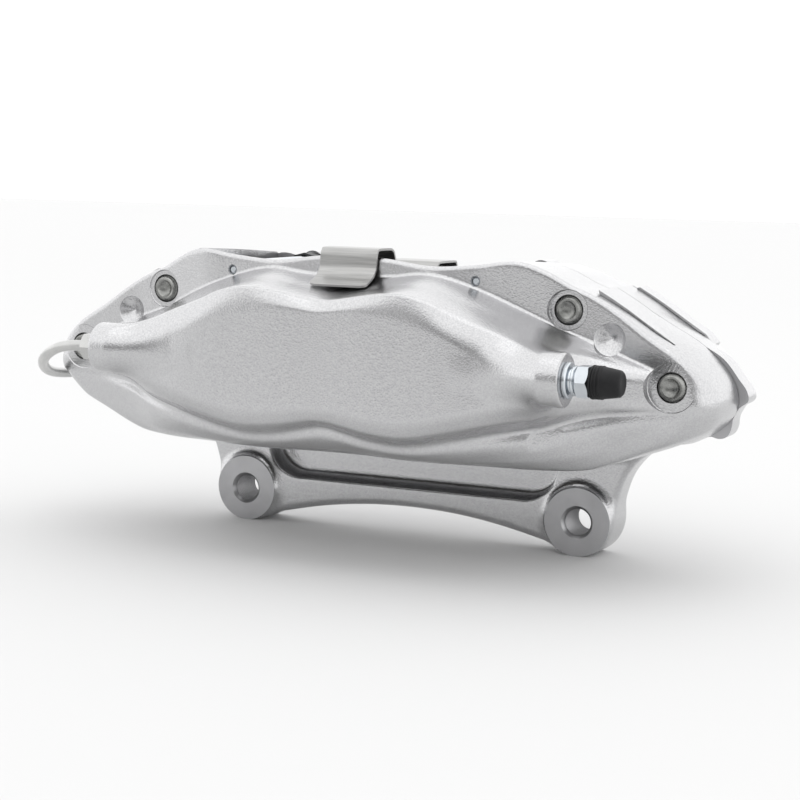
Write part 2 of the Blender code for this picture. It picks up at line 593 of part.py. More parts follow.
def anti_rattle_clip(helpers, target):
    """Stainless strap over both halves' top edges, with four arms that hold the pads down."""
    line = [Vector(p) for p in CLIP_LINE]
    shifted = []
    for i, point in enumerate(line):
        ahead = line[min(i + 1, len(line) - 1)]
        behind = line[max(i - 1, 0)]
        along = (ahead - behind).normalized()
        shifted.append(point + Vector((-along.y, along.x)) * CLIP_THICKNESS)
    strap = bmesh.new()
    rings = []
    for x in (-CLIP_WIDTH / 2, CLIP_WIDTH / 2):
        rings.append([strap.verts.new(at(x, v, z)) for v, z in line + list(reversed(shifted))])
    count = len(rings[0])
    for i in range(count):
        follow = (i + 1) % count
        strap.faces.new((rings[0][i], rings[0][follow], rings[1][follow], rings[1][i]))
    for i in range(len(line) - 1):
        for ring in rings:
            strap.faces.new((ring[i], ring[i + 1], ring[count - 2 - i], ring[count - 1 - i]))
    clip = add_mesh("anti_rattle_clip", strap, target, "stainless_sheet")
    for side in (-1, 1):
        centre = side * CLIP_ARM_V
        for hand in (-1, 1):
            arm = bmesh.new()
            lows, highs = [], []
            points = [(hand * x, z) for x, z in CLIP_ARM]
            for depth in (centre - CLIP_ARM_HALF, centre + CLIP_ARM_HALF):
                lows.append([arm.verts.new(at(x, depth, z)) for x, z in points])
                highs.append([arm.verts.new(at(x, depth, z + CLIP_THICKNESS)) for x, z in points])
            last = len(points) - 1
            for i in range(last):
                for ring in (lows, highs):
                    arm.faces.new((ring[0][i], ring[0][i + 1], ring[1][i + 1], ring[1][i]))
                for edge in (0, 1):
                    arm.faces.new((lows[edge][i], lows[edge][i + 1], highs[edge][i + 1], highs[edge][i]))
            for i in (0, last):
                arm.faces.new((lows[0][i], lows[1][i], highs[1][i], highs[0][i]))
            combine_one(clip, add_mesh(f"clip_arm_{side}_{hand}", arm, helpers), "UNION")


def main():
    clear_scene()
    caliper = new_collection("brake_caliper")
    helpers = new_collection("helpers", hidden=True)
    outboard_body(caliper)
    inboard_body(caliper)
    for side_name, side in SIDES:
        for hand_name, hand in HANDS:
            piston_set(side, side_name, hand, hand_name, caliper)
        bleeder(side, side_name, helpers, caliper)
        pad(side, side_name, caliper)
    for hand_name, hand in HANDS:
        pad_pin(hand, hand_name, caliper)
        for row in BOLT_PLACES:
            bridge_bolt(row, hand, hand_name, helpers, caliper)
    crossover_tube(caliper)
    anti_rattle_clip(helpers, caliper)


main()
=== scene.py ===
import math

import bmesh
import bpy
import numpy as np
from mathutils import Matrix, Vector

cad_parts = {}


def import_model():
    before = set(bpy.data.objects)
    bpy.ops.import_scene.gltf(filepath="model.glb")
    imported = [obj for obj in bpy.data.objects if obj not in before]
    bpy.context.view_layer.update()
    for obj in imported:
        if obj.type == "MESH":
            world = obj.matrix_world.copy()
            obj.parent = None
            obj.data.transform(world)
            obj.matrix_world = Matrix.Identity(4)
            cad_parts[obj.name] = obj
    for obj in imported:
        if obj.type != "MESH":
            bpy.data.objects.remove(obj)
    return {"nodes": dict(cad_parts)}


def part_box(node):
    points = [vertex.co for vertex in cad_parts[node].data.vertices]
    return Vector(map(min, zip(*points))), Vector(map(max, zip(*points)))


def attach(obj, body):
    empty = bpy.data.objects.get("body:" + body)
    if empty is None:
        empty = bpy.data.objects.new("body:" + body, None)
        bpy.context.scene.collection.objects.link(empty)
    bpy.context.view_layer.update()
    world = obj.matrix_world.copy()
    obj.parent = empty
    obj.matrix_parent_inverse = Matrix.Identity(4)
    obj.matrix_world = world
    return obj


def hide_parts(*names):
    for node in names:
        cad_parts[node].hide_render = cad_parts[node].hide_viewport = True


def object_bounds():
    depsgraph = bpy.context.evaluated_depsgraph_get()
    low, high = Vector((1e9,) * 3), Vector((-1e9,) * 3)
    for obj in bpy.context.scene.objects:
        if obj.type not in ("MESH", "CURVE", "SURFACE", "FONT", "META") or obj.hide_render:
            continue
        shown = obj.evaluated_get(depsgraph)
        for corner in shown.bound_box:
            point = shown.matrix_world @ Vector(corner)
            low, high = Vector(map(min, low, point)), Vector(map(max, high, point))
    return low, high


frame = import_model()
cad_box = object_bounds()

# Sizes are millimetres in the part's own terms: x along the mounting line, v the depth from the
# disc's centre plane (negative outboard), z away from the wheel axis. at() gives the world place.
MM = 0.001
SIDES = (("outboard", -1), ("inboard", 1))
HANDS = (("left", -1), ("right", 1))


def middle(node):
    low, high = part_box(node)
    return (low + high) / 2


def half_width(node):
    low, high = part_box(node)
    return (high.x - low.x) / 2 / MM


# Driving places, read from the frame
DISC_Y = (middle("pad_lining_outboard").y + middle("pad_lining_inboard").y) / 2
BOLTS = {(row, hand): middle(f"bridge_bolt_{row}_{hand}") for row in ("upper", "lower")
         for hand in ("left", "right")}
PISTONS = {(side, hand): middle(f"piston_{side}_{hand}") for side in ("outboard", "inboard")
           for hand in ("left", "right")}
PINS = {hand: middle(f"pad_pin_{hand}") for hand in ("left", "right")}
BOSS_Z = middle("bleeder_cap_outboard").z / MM
BOSS_V = (middle("bleeder_cap_inboard").y - DISC_Y) / MM
BOSS_END_X = 98.4
BOSS_RADIUS = 10.0
BOSS_ROOT_X, BOSS_FULL_X = 64.0, 90.0      # where a boss starts to swell out, and where it's full
LUG_X = 76.0
LUG_RADIUS = 13.2
LUG_FACE_V = 19.0
LUG_MATE_V = 37.5
SEAT_V = 27.8
SPOT_RADIUS = {"upper": 7.6, "lower": 9.3}
BORE_END_V = 56.4
PARTING = 0.15
SLOT_HALF = 17.5
SLOT_RADIUS = 181.0
DISC_AXIS_Z = -87.0
CAVITY_X = 69.0
CAVITY_V = 32.5
SHELF_Z = 28.5
VOXEL = 0.6

# Height of the top edge (x, z) on the outboard face; it falls by TOP_FALL towards the inboard face
TOP = [(0, 106.0), (14, 105.2), (34, 103.0), (52, 104.3), (69, 106.0), (79, 102.9), (88, 98.6), (97, 95.0),
       (108, 90.0), (150, 66.0)]
TOP_FALL = 6.6

# Rim outline, right half, from top centre to bottom centre (x, z)
RIM = [(0, 106.0), (14, 105.2), (34, 103.0), (52, 104.3), (69, 106.0), (79, 102.6), (88, 97.4),
       (97, 93.6), (108, 86.8), (118, 79.8), (129, 72.9), (138.4, 63.8), (141.6, 55.2), (138, 48.2),
       (130, 43.0), (117, 37.2), (103, 31.2), (90, 28.4), (60, 27.6), (0, 27.6)]

# Lines that run across the front of each half, from its top to its bottom: (x, z, depth)
FRONT_LINES = [
    # edge of the top wall
    [(0, 108, 34), (52, 108, 34), (68, 108, 33.8), (76, 106, 31.8), (84, 102, 29.4), (98, 95, 28),
     (112, 86, 28), (126, 75, 28), (140, 60, 28)],
    # foot of the wall
    [(0, 97.5, 34.5), (17, 98, 34.5), (34, 99.5, 34.5), (52, 95.4, 34.2), (68, 89.4, 33.4),
     (76, 85.6, 31.4), (84, 81.8, 29.4), (98, 77, 28.4), (112, 71.5, 28.2), (126, 66, 28), (140, 59, 28)],
    # hollow of the shelf
    [(0, 91.6, 46), (17, 93.2, 46), (34, 95.2, 46), (52, 90.8, 45), (68, 84.8, 43), (84, 78.4, 39),
     (98, 74, 32), (112, 69.5, 31), (126, 64.6, 28.6), (140, 58, 28)],
    # crest of the wave
    [(0, 88.6, 58), (10, 90, 59), (20, 91.8, 60), (33, 92.6, 60.6), (44, 90.2, 60), (52, 86.6, 59),
     (68, 80.6, 57.5), (84, 74.6, 52), (98, 71.4, 37), (112, 67, 34), (126, 63, 29), (140, 57, 28)],
    # top of the flat panel
    [(0, 84.6, 62), (17, 85.2, 62.2), (34, 82.2, 62.2), (52, 77.4, 62), (62, 72.5, 61.4),
     (68, 70, 61), (84, 67, 56), (98, 67, 40), (112, 64, 35), (126, 61, 29.2), (140, 56, 28)],
    # bottom of the flat panel
    [(0, 49.4, 62), (17, 48.2, 62.2), (34, 47.2, 62.2), (52, 50, 62), (62, 52.5, 61.6), (68, 54, 61),
     (84, 56, 56), (98, 57.5, 40.5), (112, 57.5, 35), (126, 57, 29.2), (140, 55, 28)],
    # roll under the panel
    [(0, 44.4, 60.4), (20, 41.6, 60.4), (34, 40.8, 60.2), (52, 44, 59.6), (68, 47.6, 58), (84, 50.4, 51.5),
     (98, 53.2, 38.4), (112, 54.2, 34.4), (126, 54.6, 29), (140, 54, 28)],
    # belt crease
    [(0, 40.2, 55), (10, 38.4, 54.6), (20, 36.4, 54.2), (34, 35.5, 53.8), (44, 36.8, 53.4), (54, 38.8, 52.6),
     (68, 42, 50), (84, 45.2, 43), (98, 49.2, 35.6), (112, 51.6, 32.4), (126, 52.4, 28.6), (140, 53, 28)],
    # brow of the skirt
    [(0, 37.4, 54.6), (20, 33.9, 53.4), (34, 33.2, 53), (54, 36.2, 52.2), (68, 39, 50), (84, 41.8, 43.6),
     (98, 45.6, 36.4), (112, 48.4, 32.6), (126, 50.6, 28.6), (140, 52, 28)],
    # turn of the skirt
    [(0, 32, 48.5), (34, 30, 47), (54, 31, 46.5), (68, 32.4, 45), (84, 33.6, 40), (98, 37, 34.4),
     (112, 42, 30.6), (126, 46, 28), (140, 50.5, 27)],
    # bottom edge
    [(0, 27, 31), (54, 27, 31), (84, 27, 30), (98, 29, 29), (112, 34, 27.5), (126, 40, 26), (140, 47, 25)],
]

# Lug bracket, right half, closed through the body above (x, z)
BRACKET = [(0, 38.0), (60, 38.0), (98, 38.0), (107, 35.5), (104.5, 31.0), (99, 25.5), (94.5, 19.0),
           (91.5, 10.0), (89.4, 0.0), (84, -9.4), (74, -13.0), (60, -9.4), (40, -5.2), (20, -2.6), (0, -1.8)]
BRACKET_V = (21.5, 36.5)
TROUGH_FLOOR, TROUGH_ROOF = 6.8, 25.0
TROUGH_HALF, TROUGH_CORNER, TROUGH_BACK_V = 65.5, 14.0, 30.5

# Ears on the inboard half's right-hand end (x, z)
END_EARS = [(118, 68.0), (130, 73.4), (138, 71.0), (144.5, 63.5), (147.6, 59.4), (148.2, 55.6),
            (145.0, 53.4), (141.6, 52.4), (140.8, 50.6), (142.0, 48.6), (142.4, 45.4), (140.6, 41.8),
            (136.6, 41.0), (132.6, 43.8), (120, 48.0)]
END_EARS_DEPTH = 14.0

# Machined land on each bridge's slope and the ridge inboard of it (x, z)
LAND = [(96.0, 95.4), (102.0, 92.1), (108.0, 88.5), (113.0, 85.2), (118.0, 82.0), (126.0, 76.9),
        (122.0, 68.0), (98.0, 84.0)]
RIDGE = [(94.0, 93.0), (99.0, 94.8), (104.0, 92.0), (110.0, 88.4), (118.0, 83.2), (126.0, 78.1),
         (129.0, 74.6), (126.0, 68.0), (98.0, 84.0)]
LAND_OUT, LAND_IN, RIDGE_IN = -20.5, 18.0, 27.5

# Drilled bowl beside each upper bolt, the round ejector mark, and depths of smaller features
BOWL_X, BOWL_V, BOWL_Z = 103.7, 28.5, 78.3
MARK_X, MARK_V, MARK_Z = 86.0, 41.9, 39.4
MARK_RADIUS, MARK_LENGTH, MARK_TILT = 6.4, 18.1, 0.42
WALL_FACE_V = 34.8
PIN_BOSS_V = 45.0
PRESSURE_SEAL_V = 43.0
LUG_THREAD_RADIUS, LUG_THREAD_PITCH = 5.4, 1.25
TUBE_RADIUS = 2.15


def at(x, v, z):
    return Vector((x * MM, v * MM + DISC_Y, z * MM))


def v_of(y):
    return (y - DISC_Y) / MM


# ---- materials

def new_material(name):
    made = bpy.data.materials.new(name)
    made.use_nodes = True
    return made, made.node_tree.nodes, made.node_tree.links, made.node_tree.nodes["Principled BSDF"]


def noise(nodes, links, scale, detail, roughness, stretch=(1, 1, 1)):
    """Noise over the object's own coordinates, which stretch scales."""
    source = nodes.new("ShaderNodeTexCoord")
    mapping = nodes.new("ShaderNodeMapping")
    mapping.inputs["Scale"].default_value = stretch
    links.new(source.outputs["Object"], mapping.inputs["Vector"])
    texture = nodes.new("ShaderNodeTexNoise")
    texture.inputs["Scale"].default_value = scale
    texture.inputs["Detail"].default_value = detail
    texture.inputs["Roughness"].default_value = roughness
    links.new(mapping.outputs["Vector"], texture.inputs["Vector"])
    return texture.outputs["Fac"]


def ramp(nodes, links, value, stops):
    made = nodes.new("ShaderNodeValToRGB")
    points = made.color_ramp.elements
    while len(points) < len(stops):
        points.new(0.5)
    for point, (place, colour) in zip(points, stops):
        point.position = place
        point.color = (*colour, 1.0)
    links.new(value, made.inputs["Fac"])
    return made.outputs["Color"]


def grey(value):
    return (value, value, value)


def remap(nodes, links, value, low, high):
    made = nodes.new("ShaderNodeMapRange")
    made.inputs["To Min"].default_value = low
    made.inputs["To Max"].default_value = high
    links.new(value, made.inputs["Value"])
    return made.outputs["Result"]


def procedural(name, layers, base, rough, bumps, metallic=1.0, specular=0.5):
    """Principled material. layers holds its noises by name, and the others say which noise they use:
    base is (noise, colour stops), rough is (noise, low, high), and each of bumps, chained in order,
    is (noise, distance in metres, strength)."""
    made, nodes, links, shader = new_material(name)
    values = {key: noise(nodes, links, *settings) for key, settings in layers.items()}
    links.new(ramp(nodes, links, values[base[0]], base[1]), shader.inputs["Base Color"])
    links.new(remap(nodes, links, values[rough[0]], *rough[1:]), shader.inputs["Roughness"])
    shader.inputs["Metallic"].default_value = metallic
    shader.inputs["Specular IOR Level"].default_value = specular
    last = None
    for key, distance, strength in bumps:
        relief = nodes.new("ShaderNodeBump")
        relief.inputs["Distance"].default_value = distance
        relief.inputs["Strength"].default_value = strength
        links.new(values[key], relief.inputs["Height"])
        if last:
            links.new(last, relief.inputs["Normal"])
        last = relief.outputs["Normal"]
    links.new(last, shader.inputs["Normal"])
    return made


def plated(name, dark, light, roughness, tint_scale=70.0):
    return procedural(name, {"blotch": (tint_scale, 3.0, 0.6), "fine": (1800.0, 2.0, 0.6)},
                      ("blotch", [(0.32, dark), (0.68, light)]),
                      ("fine", roughness - 0.05, roughness + 0.08), [("fine", 0.00002, 0.4)])


MATERIALS = {
    "cast": procedural(
        "cast_aluminium_blasted",
        {"blotch": (38.0, 4.0, 0.6), "grain": (1600.0, 1.0, 0.5), "peel": (1100.0, 2.0, 0.5)},
        ("grain", [(0.3, (0.50, 0.50, 0.51)), (0.7, (0.59, 0.59, 0.595))]), ("blotch", 0.20, 0.28),
        [("peel", 0.00007, 0.6), ("grain", 0.00009, 0.7)]),
    "machined": procedural(
        "machined_aluminium", {"fine": (2400.0, 2.0, 0.6), "blotch": (60.0, 3.0, 0.6)},
        ("blotch", [(0.3, (0.42, 0.42, 0.43)), (0.7, (0.50, 0.50, 0.51))]), ("fine", 0.34, 0.46),
        [("fine", 0.00003, 0.5)]),
    "stainless": procedural(
        "brushed_stainless",
        {"streaks": (3.0, 4.0, 0.65, (14.0, 900.0, 900.0)), "coarse": (2.0, 3.0, 0.6, (5.0, 260.0, 260.0))},
        ("streaks", [(0.25, (0.29, 0.29, 0.285)), (0.75, (0.50, 0.497, 0.49))]), ("coarse", 0.26, 0.44),
        [("streaks", 0.00003, 0.5), ("coarse", 0.00004, 0.25)]),
    "zinc": plated("bright_zinc_plate", (0.50, 0.53, 0.56), (0.64, 0.67, 0.70), 0.2),
    "pale_zinc": plated("pale_zinc_plate", (0.45, 0.455, 0.45), (0.54, 0.54, 0.53), 0.28),
    "bolt": plated("dark_bolt_steel", (0.15, 0.152, 0.146), (0.36, 0.362, 0.35), 0.27, 260.0),
    "piston": plated("anodised_piston", (0.38, 0.365, 0.33), (0.46, 0.445, 0.41), 0.32),
    "rubber": procedural(
        "moulded_rubber", {"dust": (120.0, 4.0, 0.6), "fine": (1600.0, 2.0, 0.6)},
        ("dust", [(0.35, (0.007, 0.007, 0.008)), (0.8, (0.02, 0.02, 0.021))]), ("dust", 0.42, 0.6),
        [("fine", 0.00003, 0.4)], metallic=0.0, specular=0.22),
    "friction": procedural(
        "friction_compound", {"flecks": (900.0, 2.0, 0.7), "clumps": (160.0, 4.0, 0.6)},
        ("flecks", [(0.45, (0.075, 0.068, 0.064)), (0.62, (0.15, 0.135, 0.12)), (0.72, (0.42, 0.36, 0.28))]),
        ("clumps", 0.75, 0.95), [("clumps", 0.0002, 0.5), ("flecks", 0.00008, 0.6)], metallic=0.0),
    "backing": procedural(
        "black_powder_coat", {"peel": (700.0, 2.0, 0.5), "wear": (50.0, 4.0, 0.6)},
        ("wear", [(0.3, (0.018, 0.018, 0.02)), (0.75, (0.045, 0.045, 0.048))]), ("peel", 0.38, 0.55),
        [("peel", 0.00008, 0.5)], metallic=0.0),
}


# ---- mesh helpers

def object_from(name, mesh, finish, body, slot, *replaced):
    obj = bpy.data.objects.new(name, mesh)
    bpy.context.scene.collection.objects.link(obj)
    mesh.materials.append(MATERIALS[finish])
    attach(obj, body)
    if replaced:
        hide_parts(*replaced)
    return obj


def finish_mesh(made, name, angle=32):
    bmesh.ops.recalc_face_normals(made, faces=made.faces)
    mesh = bpy.data.meshes.new(name)
    made.to_mesh(mesh)
    made.free()
    mesh.shade_smooth()
    mesh.set_sharp_from_angle(angle=math.radians(angle))
    return mesh


def facing(centre, axis):
    """Takes local +Z to an axis through a centre."""
    return Matrix.Translation(centre) @ Vector(axis).to_track_quat("Z", "X").to_matrix().to_4x4()


def add_ring(made, place, points):
    """One vertex for each (radius, distance) point, spread evenly round the axis."""
    ring = []
    for i, (radius, along) in enumerate(points):
        angle = math.tau * i / len(points)
        ring.append(made.verts.new(place @ Vector((radius * MM * math.cos(angle),
                                                   radius * MM * math.sin(angle), along * MM))))
    return ring


def join_rings(made, first, second):
    for i in range(len(first)):
        follow = (i + 1) % len(first)
        made.faces.new((first[i], first[follow], second[follow], second[i]))


def spun(profile, centre, axis, sides=72):
    """bmesh of revolution. profile holds (radius, distance) points; it ends on the axis or is closed."""
    made = bmesh.new()
    place = facing(centre, axis)
    rings = [add_ring(made, place, [point] * (sides if point[0] else 1)) for point in profile]
    closed = len(rings[0]) > 1 and len(rings[-1]) > 1
    for first, second in zip(rings, rings[1:] + rings[:1] if closed else rings[1:]):
        for i in range(sides):
            follow = (i + 1) % sides
            corners = [first[i % len(first)], first[follow % len(first)],
                       second[follow % len(second)], second[i % len(second)]]
            unique = list(dict.fromkeys(corners))
            if len(unique) > 2:
                made.faces.new(unique)
    return made


def chamfered_hexagon(across_flats, start, end, centre, axis, bore=0.0, chamfer=0.6):
    """Hexagon bar with its corners turned off at both ends, as one bmesh."""
    sides = 72
    made = bmesh.new()
    place = facing(centre, axis)
    flat, corner = across_flats / 2, across_flats / math.sqrt(3)
    turned = flat * 0.97
    levels = []
    for along, lift in ((start, 0), (start, 1), (end, -1), (end, 0)):
        points = []
        for i in range(sides):
            outer = flat / math.cos((math.tau * i / sides + math.pi / 6) % (math.pi / 3) - math.pi / 6)
            drop = chamfer * (outer - turned) / (corner - turned)
            points.append((outer if lift else turned, along + lift * drop))
        levels.append(add_ring(made, place, points))
    for first, second in zip(levels, levels[1:]):
        join_rings(made, first, second)
    if bore:
        holes = [add_ring(made, place, [(bore, along)] * sides) for along in (start, end)]
        join_rings(made, levels[0], holes[0])
        join_rings(made, levels[-1], holes[1])
        join_rings(made, *holes)
    else:
        made.faces.new(levels[0])
        made.faces.new(list(reversed(levels[-1])))
    return made


def merged(first, *others):
    """Adds the other bmeshes to the first, as separate shells in one mesh."""
    for other in others:
        bmesh.ops.recalc_face_normals(other, faces=other.faces)
        spare = bpy.data.meshes.new("spare")
        other.to_mesh(spare)
        other.free()
        first.from_mesh(spare)
        bpy.data.meshes.remove(spare)
    return first


def threads(radius, pitch, start, end, depth):
    """Profile points of a run of rolled threads between two distances."""
    count = max(1, int(abs(end - start) / pitch))
    step = (end - start) / count
    made = []
    for i in range(count):
        made += [(radius - depth, start + step * (i + 0.1)), (radius, start + step * (i + 0.45)),
                 (radius, start + step * (i + 0.6)), (radius - depth, start + step * (i + 0.95))]
    return made


# ---- castings

def interpolate(xs, ys, slopes, x):
    """Cubic through points with given slopes, held beyond its ends."""
    index = np.clip(np.searchsorted(xs, x, side="right") - 1, 0, len(xs) - 2)
    span = xs[index + 1] - xs[index]
    t = np.clip((x - xs[index]) / span, 0.0, 1.0)
    return ((2 * t ** 3 - 3 * t ** 2 + 1) * ys[index] + (t ** 3 - 2 * t ** 2 + t) * slopes[index] * span
            + (-2 * t ** 3 + 3 * t ** 2) * ys[index + 1] + (t ** 3 - t ** 2) * slopes[index + 1] * span)


def line_values(points, x, column):
    """Smooth values of a listed line, which is level at the middle."""
    xs = np.array([p[0] for p in points], float)
    ys = np.array([p[column] for p in points], float)
    slopes = np.gradient(ys, xs)
    slopes[0] = 0.0
    return interpolate(xs, ys, slopes, x)


def front_depth(xs, zs):
    """Depth of the front surface over a grid of x and z."""
    made = np.zeros((len(xs), len(zs)), np.float32)
    heights = np.array([line_values(line, np.abs(xs), 1) for line in FRONT_LINES])[::-1]
    depths = np.array([line_values(line, np.abs(xs), 2) for line in FRONT_LINES])[::-1]
    for i in range(len(xs)):
        rows = np.maximum.accumulate(heights[:, i] + np.arange(len(heights)) * 1e-3)
        made[i] = interpolate(rows, depths[:, i], monotone_slopes(rows, depths[:, i]), zs)
    return made


def monotone_slopes(rows, values):
    """Slopes of a shape-preserving cubic."""
    rise = np.diff(values) / np.diff(rows)
    slopes = np.zeros_like(values)
    same = rise[:-1] * rise[1:] > 0
    slopes[1:-1][same] = 2 * rise[:-1][same] * rise[1:][same] / (rise[:-1][same] + rise[1:][same])
    slopes[0], slopes[-1] = rise[0], rise[-1]
    return slopes


def catmull_rom(before, start, end, after, t):
    return 0.5 * (2 * start + (end - before) * t + (2 * before - 5 * start + 4 * end - after) * t ** 2
                  + (3 * start - before - 3 * end + after) * t ** 3)


def smooth_loop(points, steps):
    """Closed curve through (x, z) points."""
    made = []
    for i in range(len(points)):
        four = [np.array(points[(i + k) % len(points)], float) for k in (-1, 0, 1, 2)]
        made += [catmull_rom(*four, step / steps) for step in range(steps)]
    return np.array(made)


def mirrored_loop(right):
    return right + [(-x, z) for x, z in reversed(right[1:-1])]


def outline_distance(loop, xs, zs):
    """Signed distance to a closed outline over a grid, negative inside."""
    gx, gz = np.meshgrid(xs, zs, indexing="ij")
    nearest = np.full(gx.shape, 1e9)
    inside = np.zeros(gx.shape, bool)
    for (ax, az), (bx, bz) in zip(loop, np.roll(loop, -1, axis=0)):
        ex, ez = bx - ax, bz - az
        t = np.clip(((gx - ax) * ex + (gz - az) * ez) / (ex * ex + ez * ez + 1e-12), 0, 1)
        nearest = np.minimum(nearest, (gx - ax - t * ex) ** 2 + (gz - az - t * ez) ** 2)
        if abs(ez) > 1e-9:
            crosses = (az > gz) != (bz > gz)
            inside ^= crosses & (gx < ax + (gz - az) * ex / ez)
    return np.where(inside, -1.0, 1.0) * np.sqrt(nearest)


def smooth_max(a, b, k):
    h = np.clip(0.5 + 0.5 * (a - b) / k, 0.0, 1.0)
    return b + (a - b) * h + k * h * (1.0 - h)


def smooth_min(a, b, k):
    return -smooth_max(-a, -b, k)


def smoothstep(value, low, high):
    t = np.clip((value - low) / (high - low), 0.0, 1.0)
    return t * t * (3 - 2 * t)


def round_bar_field(along, across_a, across_b, radius, low, high, k):
    """Distance field of a bar along one axis with rounded end edges."""
    side = np.sqrt(across_a ** 2 + across_b ** 2) - radius
    return smooth_max(smooth_max(side, along - high, k), low - along, k)


def boss_field(along, d, z):
    """Distance to a fluid boss, which swells out of the housing's end."""
    share = np.clip((along - BOSS_ROOT_X) / (BOSS_FULL_X - BOSS_ROOT_X), 0, 1)
    axis = BOSS_V - 7.5 * (1 - share)
    radius = BOSS_RADIUS - 3.0 * (1 - share)
    return round_bar_field(along, d - axis, z - BOSS_Z, radius, BOSS_ROOT_X - 4.0, BOSS_END_X, 1.2)


def casting_field(side, xs, ds, zs):
    """Distance field of one half over x, depth from the disc plane, and z."""
    x = xs[:, None, None].astype(np.float32)
    d = ds[None, :, None].astype(np.float32)
    z = zs[None, None, :].astype(np.float32)
    ax = np.abs(x)
    rim = outline_distance(smooth_loop(mirrored_loop(RIM), 4), xs, zs).astype(np.float32)[:, None, :]
    crown = 3.2 * (1 - np.clip(d / 28.0, 0, 1) ** 2) * smoothstep(ax, 92, 130)
    depth = front_depth(xs, zs)
    slope_x, slope_z = np.gradient(depth, xs, zs)
    steep = np.sqrt(1 + np.clip(slope_x ** 2 + slope_z ** 2, 0, 9.0)).astype(np.float32)
    front = (d - depth[:, None, :]) / steep[:, None, :]
    rounding = 2.0 + 8.0 * smoothstep(ax, 126, 140) * (1 - smoothstep(z, 58, 72))
    body = smooth_max(rim - crown, front, rounding)
    for hand in (-1, 1):
        body = smooth_min(body, boss_field(hand * x, d, z), 7.0)
        # hollow under each boss, where the belt starts
        hollow = segment_field(x, d, z, (hand * 101, 43, 52.5), (hand * 74, 53.5, 42.5)) - 1.6
        body = smooth_max(body, -hollow, 2.5)
    across = (side * d + 34.0) / 68.0
    dip = TOP_FALL + 2.2 * smoothstep(ax, 13, 24) * (1 - smoothstep(ax, 50, 62))
    fall = dip * np.clip(across, 0, 1) * (1 - 0.35 * smoothstep(ax, 40, 69)) * (1 - smoothstep(ax, 69, 104))
    top = line_values(TOP, np.abs(xs), 1).astype(np.float32)[:, None, None]
    body = smooth_max(body, (z - top + fall) * 0.95, 3.0)
    if side > 0:
        body = np.minimum(body, inboard_extras(x, d, z, xs, zs, body))
    else:
        # round ejector mark, tilted to the belt
        aside = x - MARK_X
        mark = round_bar_field(d + MARK_TILT * aside, aside, z - MARK_Z, MARK_RADIUS, MARK_V,
                               MARK_V + MARK_LENGTH, 0.5)
        body = smooth_max(body, -mark, 0.7)
    return np.maximum(body, -1.6 - d)


def segment_field(x, d, z, start, end):
    """Distance to the line between two (x, depth, z) points."""
    a, b = np.array(start, np.float32), np.array(end, np.float32)
    e = b - a
    t = np.clip(((x - a[0]) * e[0] + (d - a[1]) * e[1] + (z - a[2]) * e[2]) / float(e @ e), 0, 1)
    return np.sqrt((x - a[0] - t * e[0]) ** 2 + (d - a[1] - t * e[1]) ** 2 + (z - a[2] - t * e[2]) ** 2)


def inboard_extras(x, d, z, xs, zs, body):
    """Body of the inboard half joined to its lug bracket, bosses and end ears."""
    bracket = smooth_loop(mirrored_loop(BRACKET), 4)
    web2d = outline_distance(bracket, xs, zs).astype(np.float32)[:, None, :]
    web = smooth_max(smooth_max(web2d, d - BRACKET_V[1], 3.0), BRACKET_V[0] - d, 3.0)
    for hand in (-1, 1):
        lug = round_bar_field(d, x - hand * LUG_X, z, LUG_RADIUS + 0.2, LUG_FACE_V - 2, LUG_MATE_V + 2, 0.8)
        web = smooth_min(web, lug, 5.0)
    past_end = np.maximum(np.abs(x) - (TROUGH_HALF - TROUGH_CORNER), 0)
    below = np.maximum(TROUGH_FLOOR + TROUGH_CORNER - z, 0)
    outline = np.sqrt(past_end ** 2 + below ** 2) - TROUGH_CORNER
    trough = -smooth_max(smooth_max(outline, d - TROUGH_BACK_V, 4.0), z - TROUGH_ROOF, 2.0)
    web = smooth_max(web, trough, 1.2)
    joined = smooth_min(body, web, 5.0)
    joined = smooth_max(joined, trough, 1.2)
    ears2d = outline_distance(smooth_loop(END_EARS, 4), xs, zs).astype(np.float32)[:, None, :]
    joined = smooth_min(joined, smooth_max(ears2d, d - END_EARS_DEPTH, 4.0), 2.0)
    for hand in (-1, 1):
        pin = PINS["left" if hand < 0 else "right"]
        boss = round_bar_field(d, x - pin.x / MM, z - pin.z / MM, 5.6, 28.0, PIN_BOSS_V, 0.8)
        joined = smooth_min(joined, boss, 3.0)
    inlet = round_bar_field(d, x, z - BOSS_Z, 11.0, 50.0, 67.0, 0.8)
    return smooth_min(joined, inlet, 5.0)


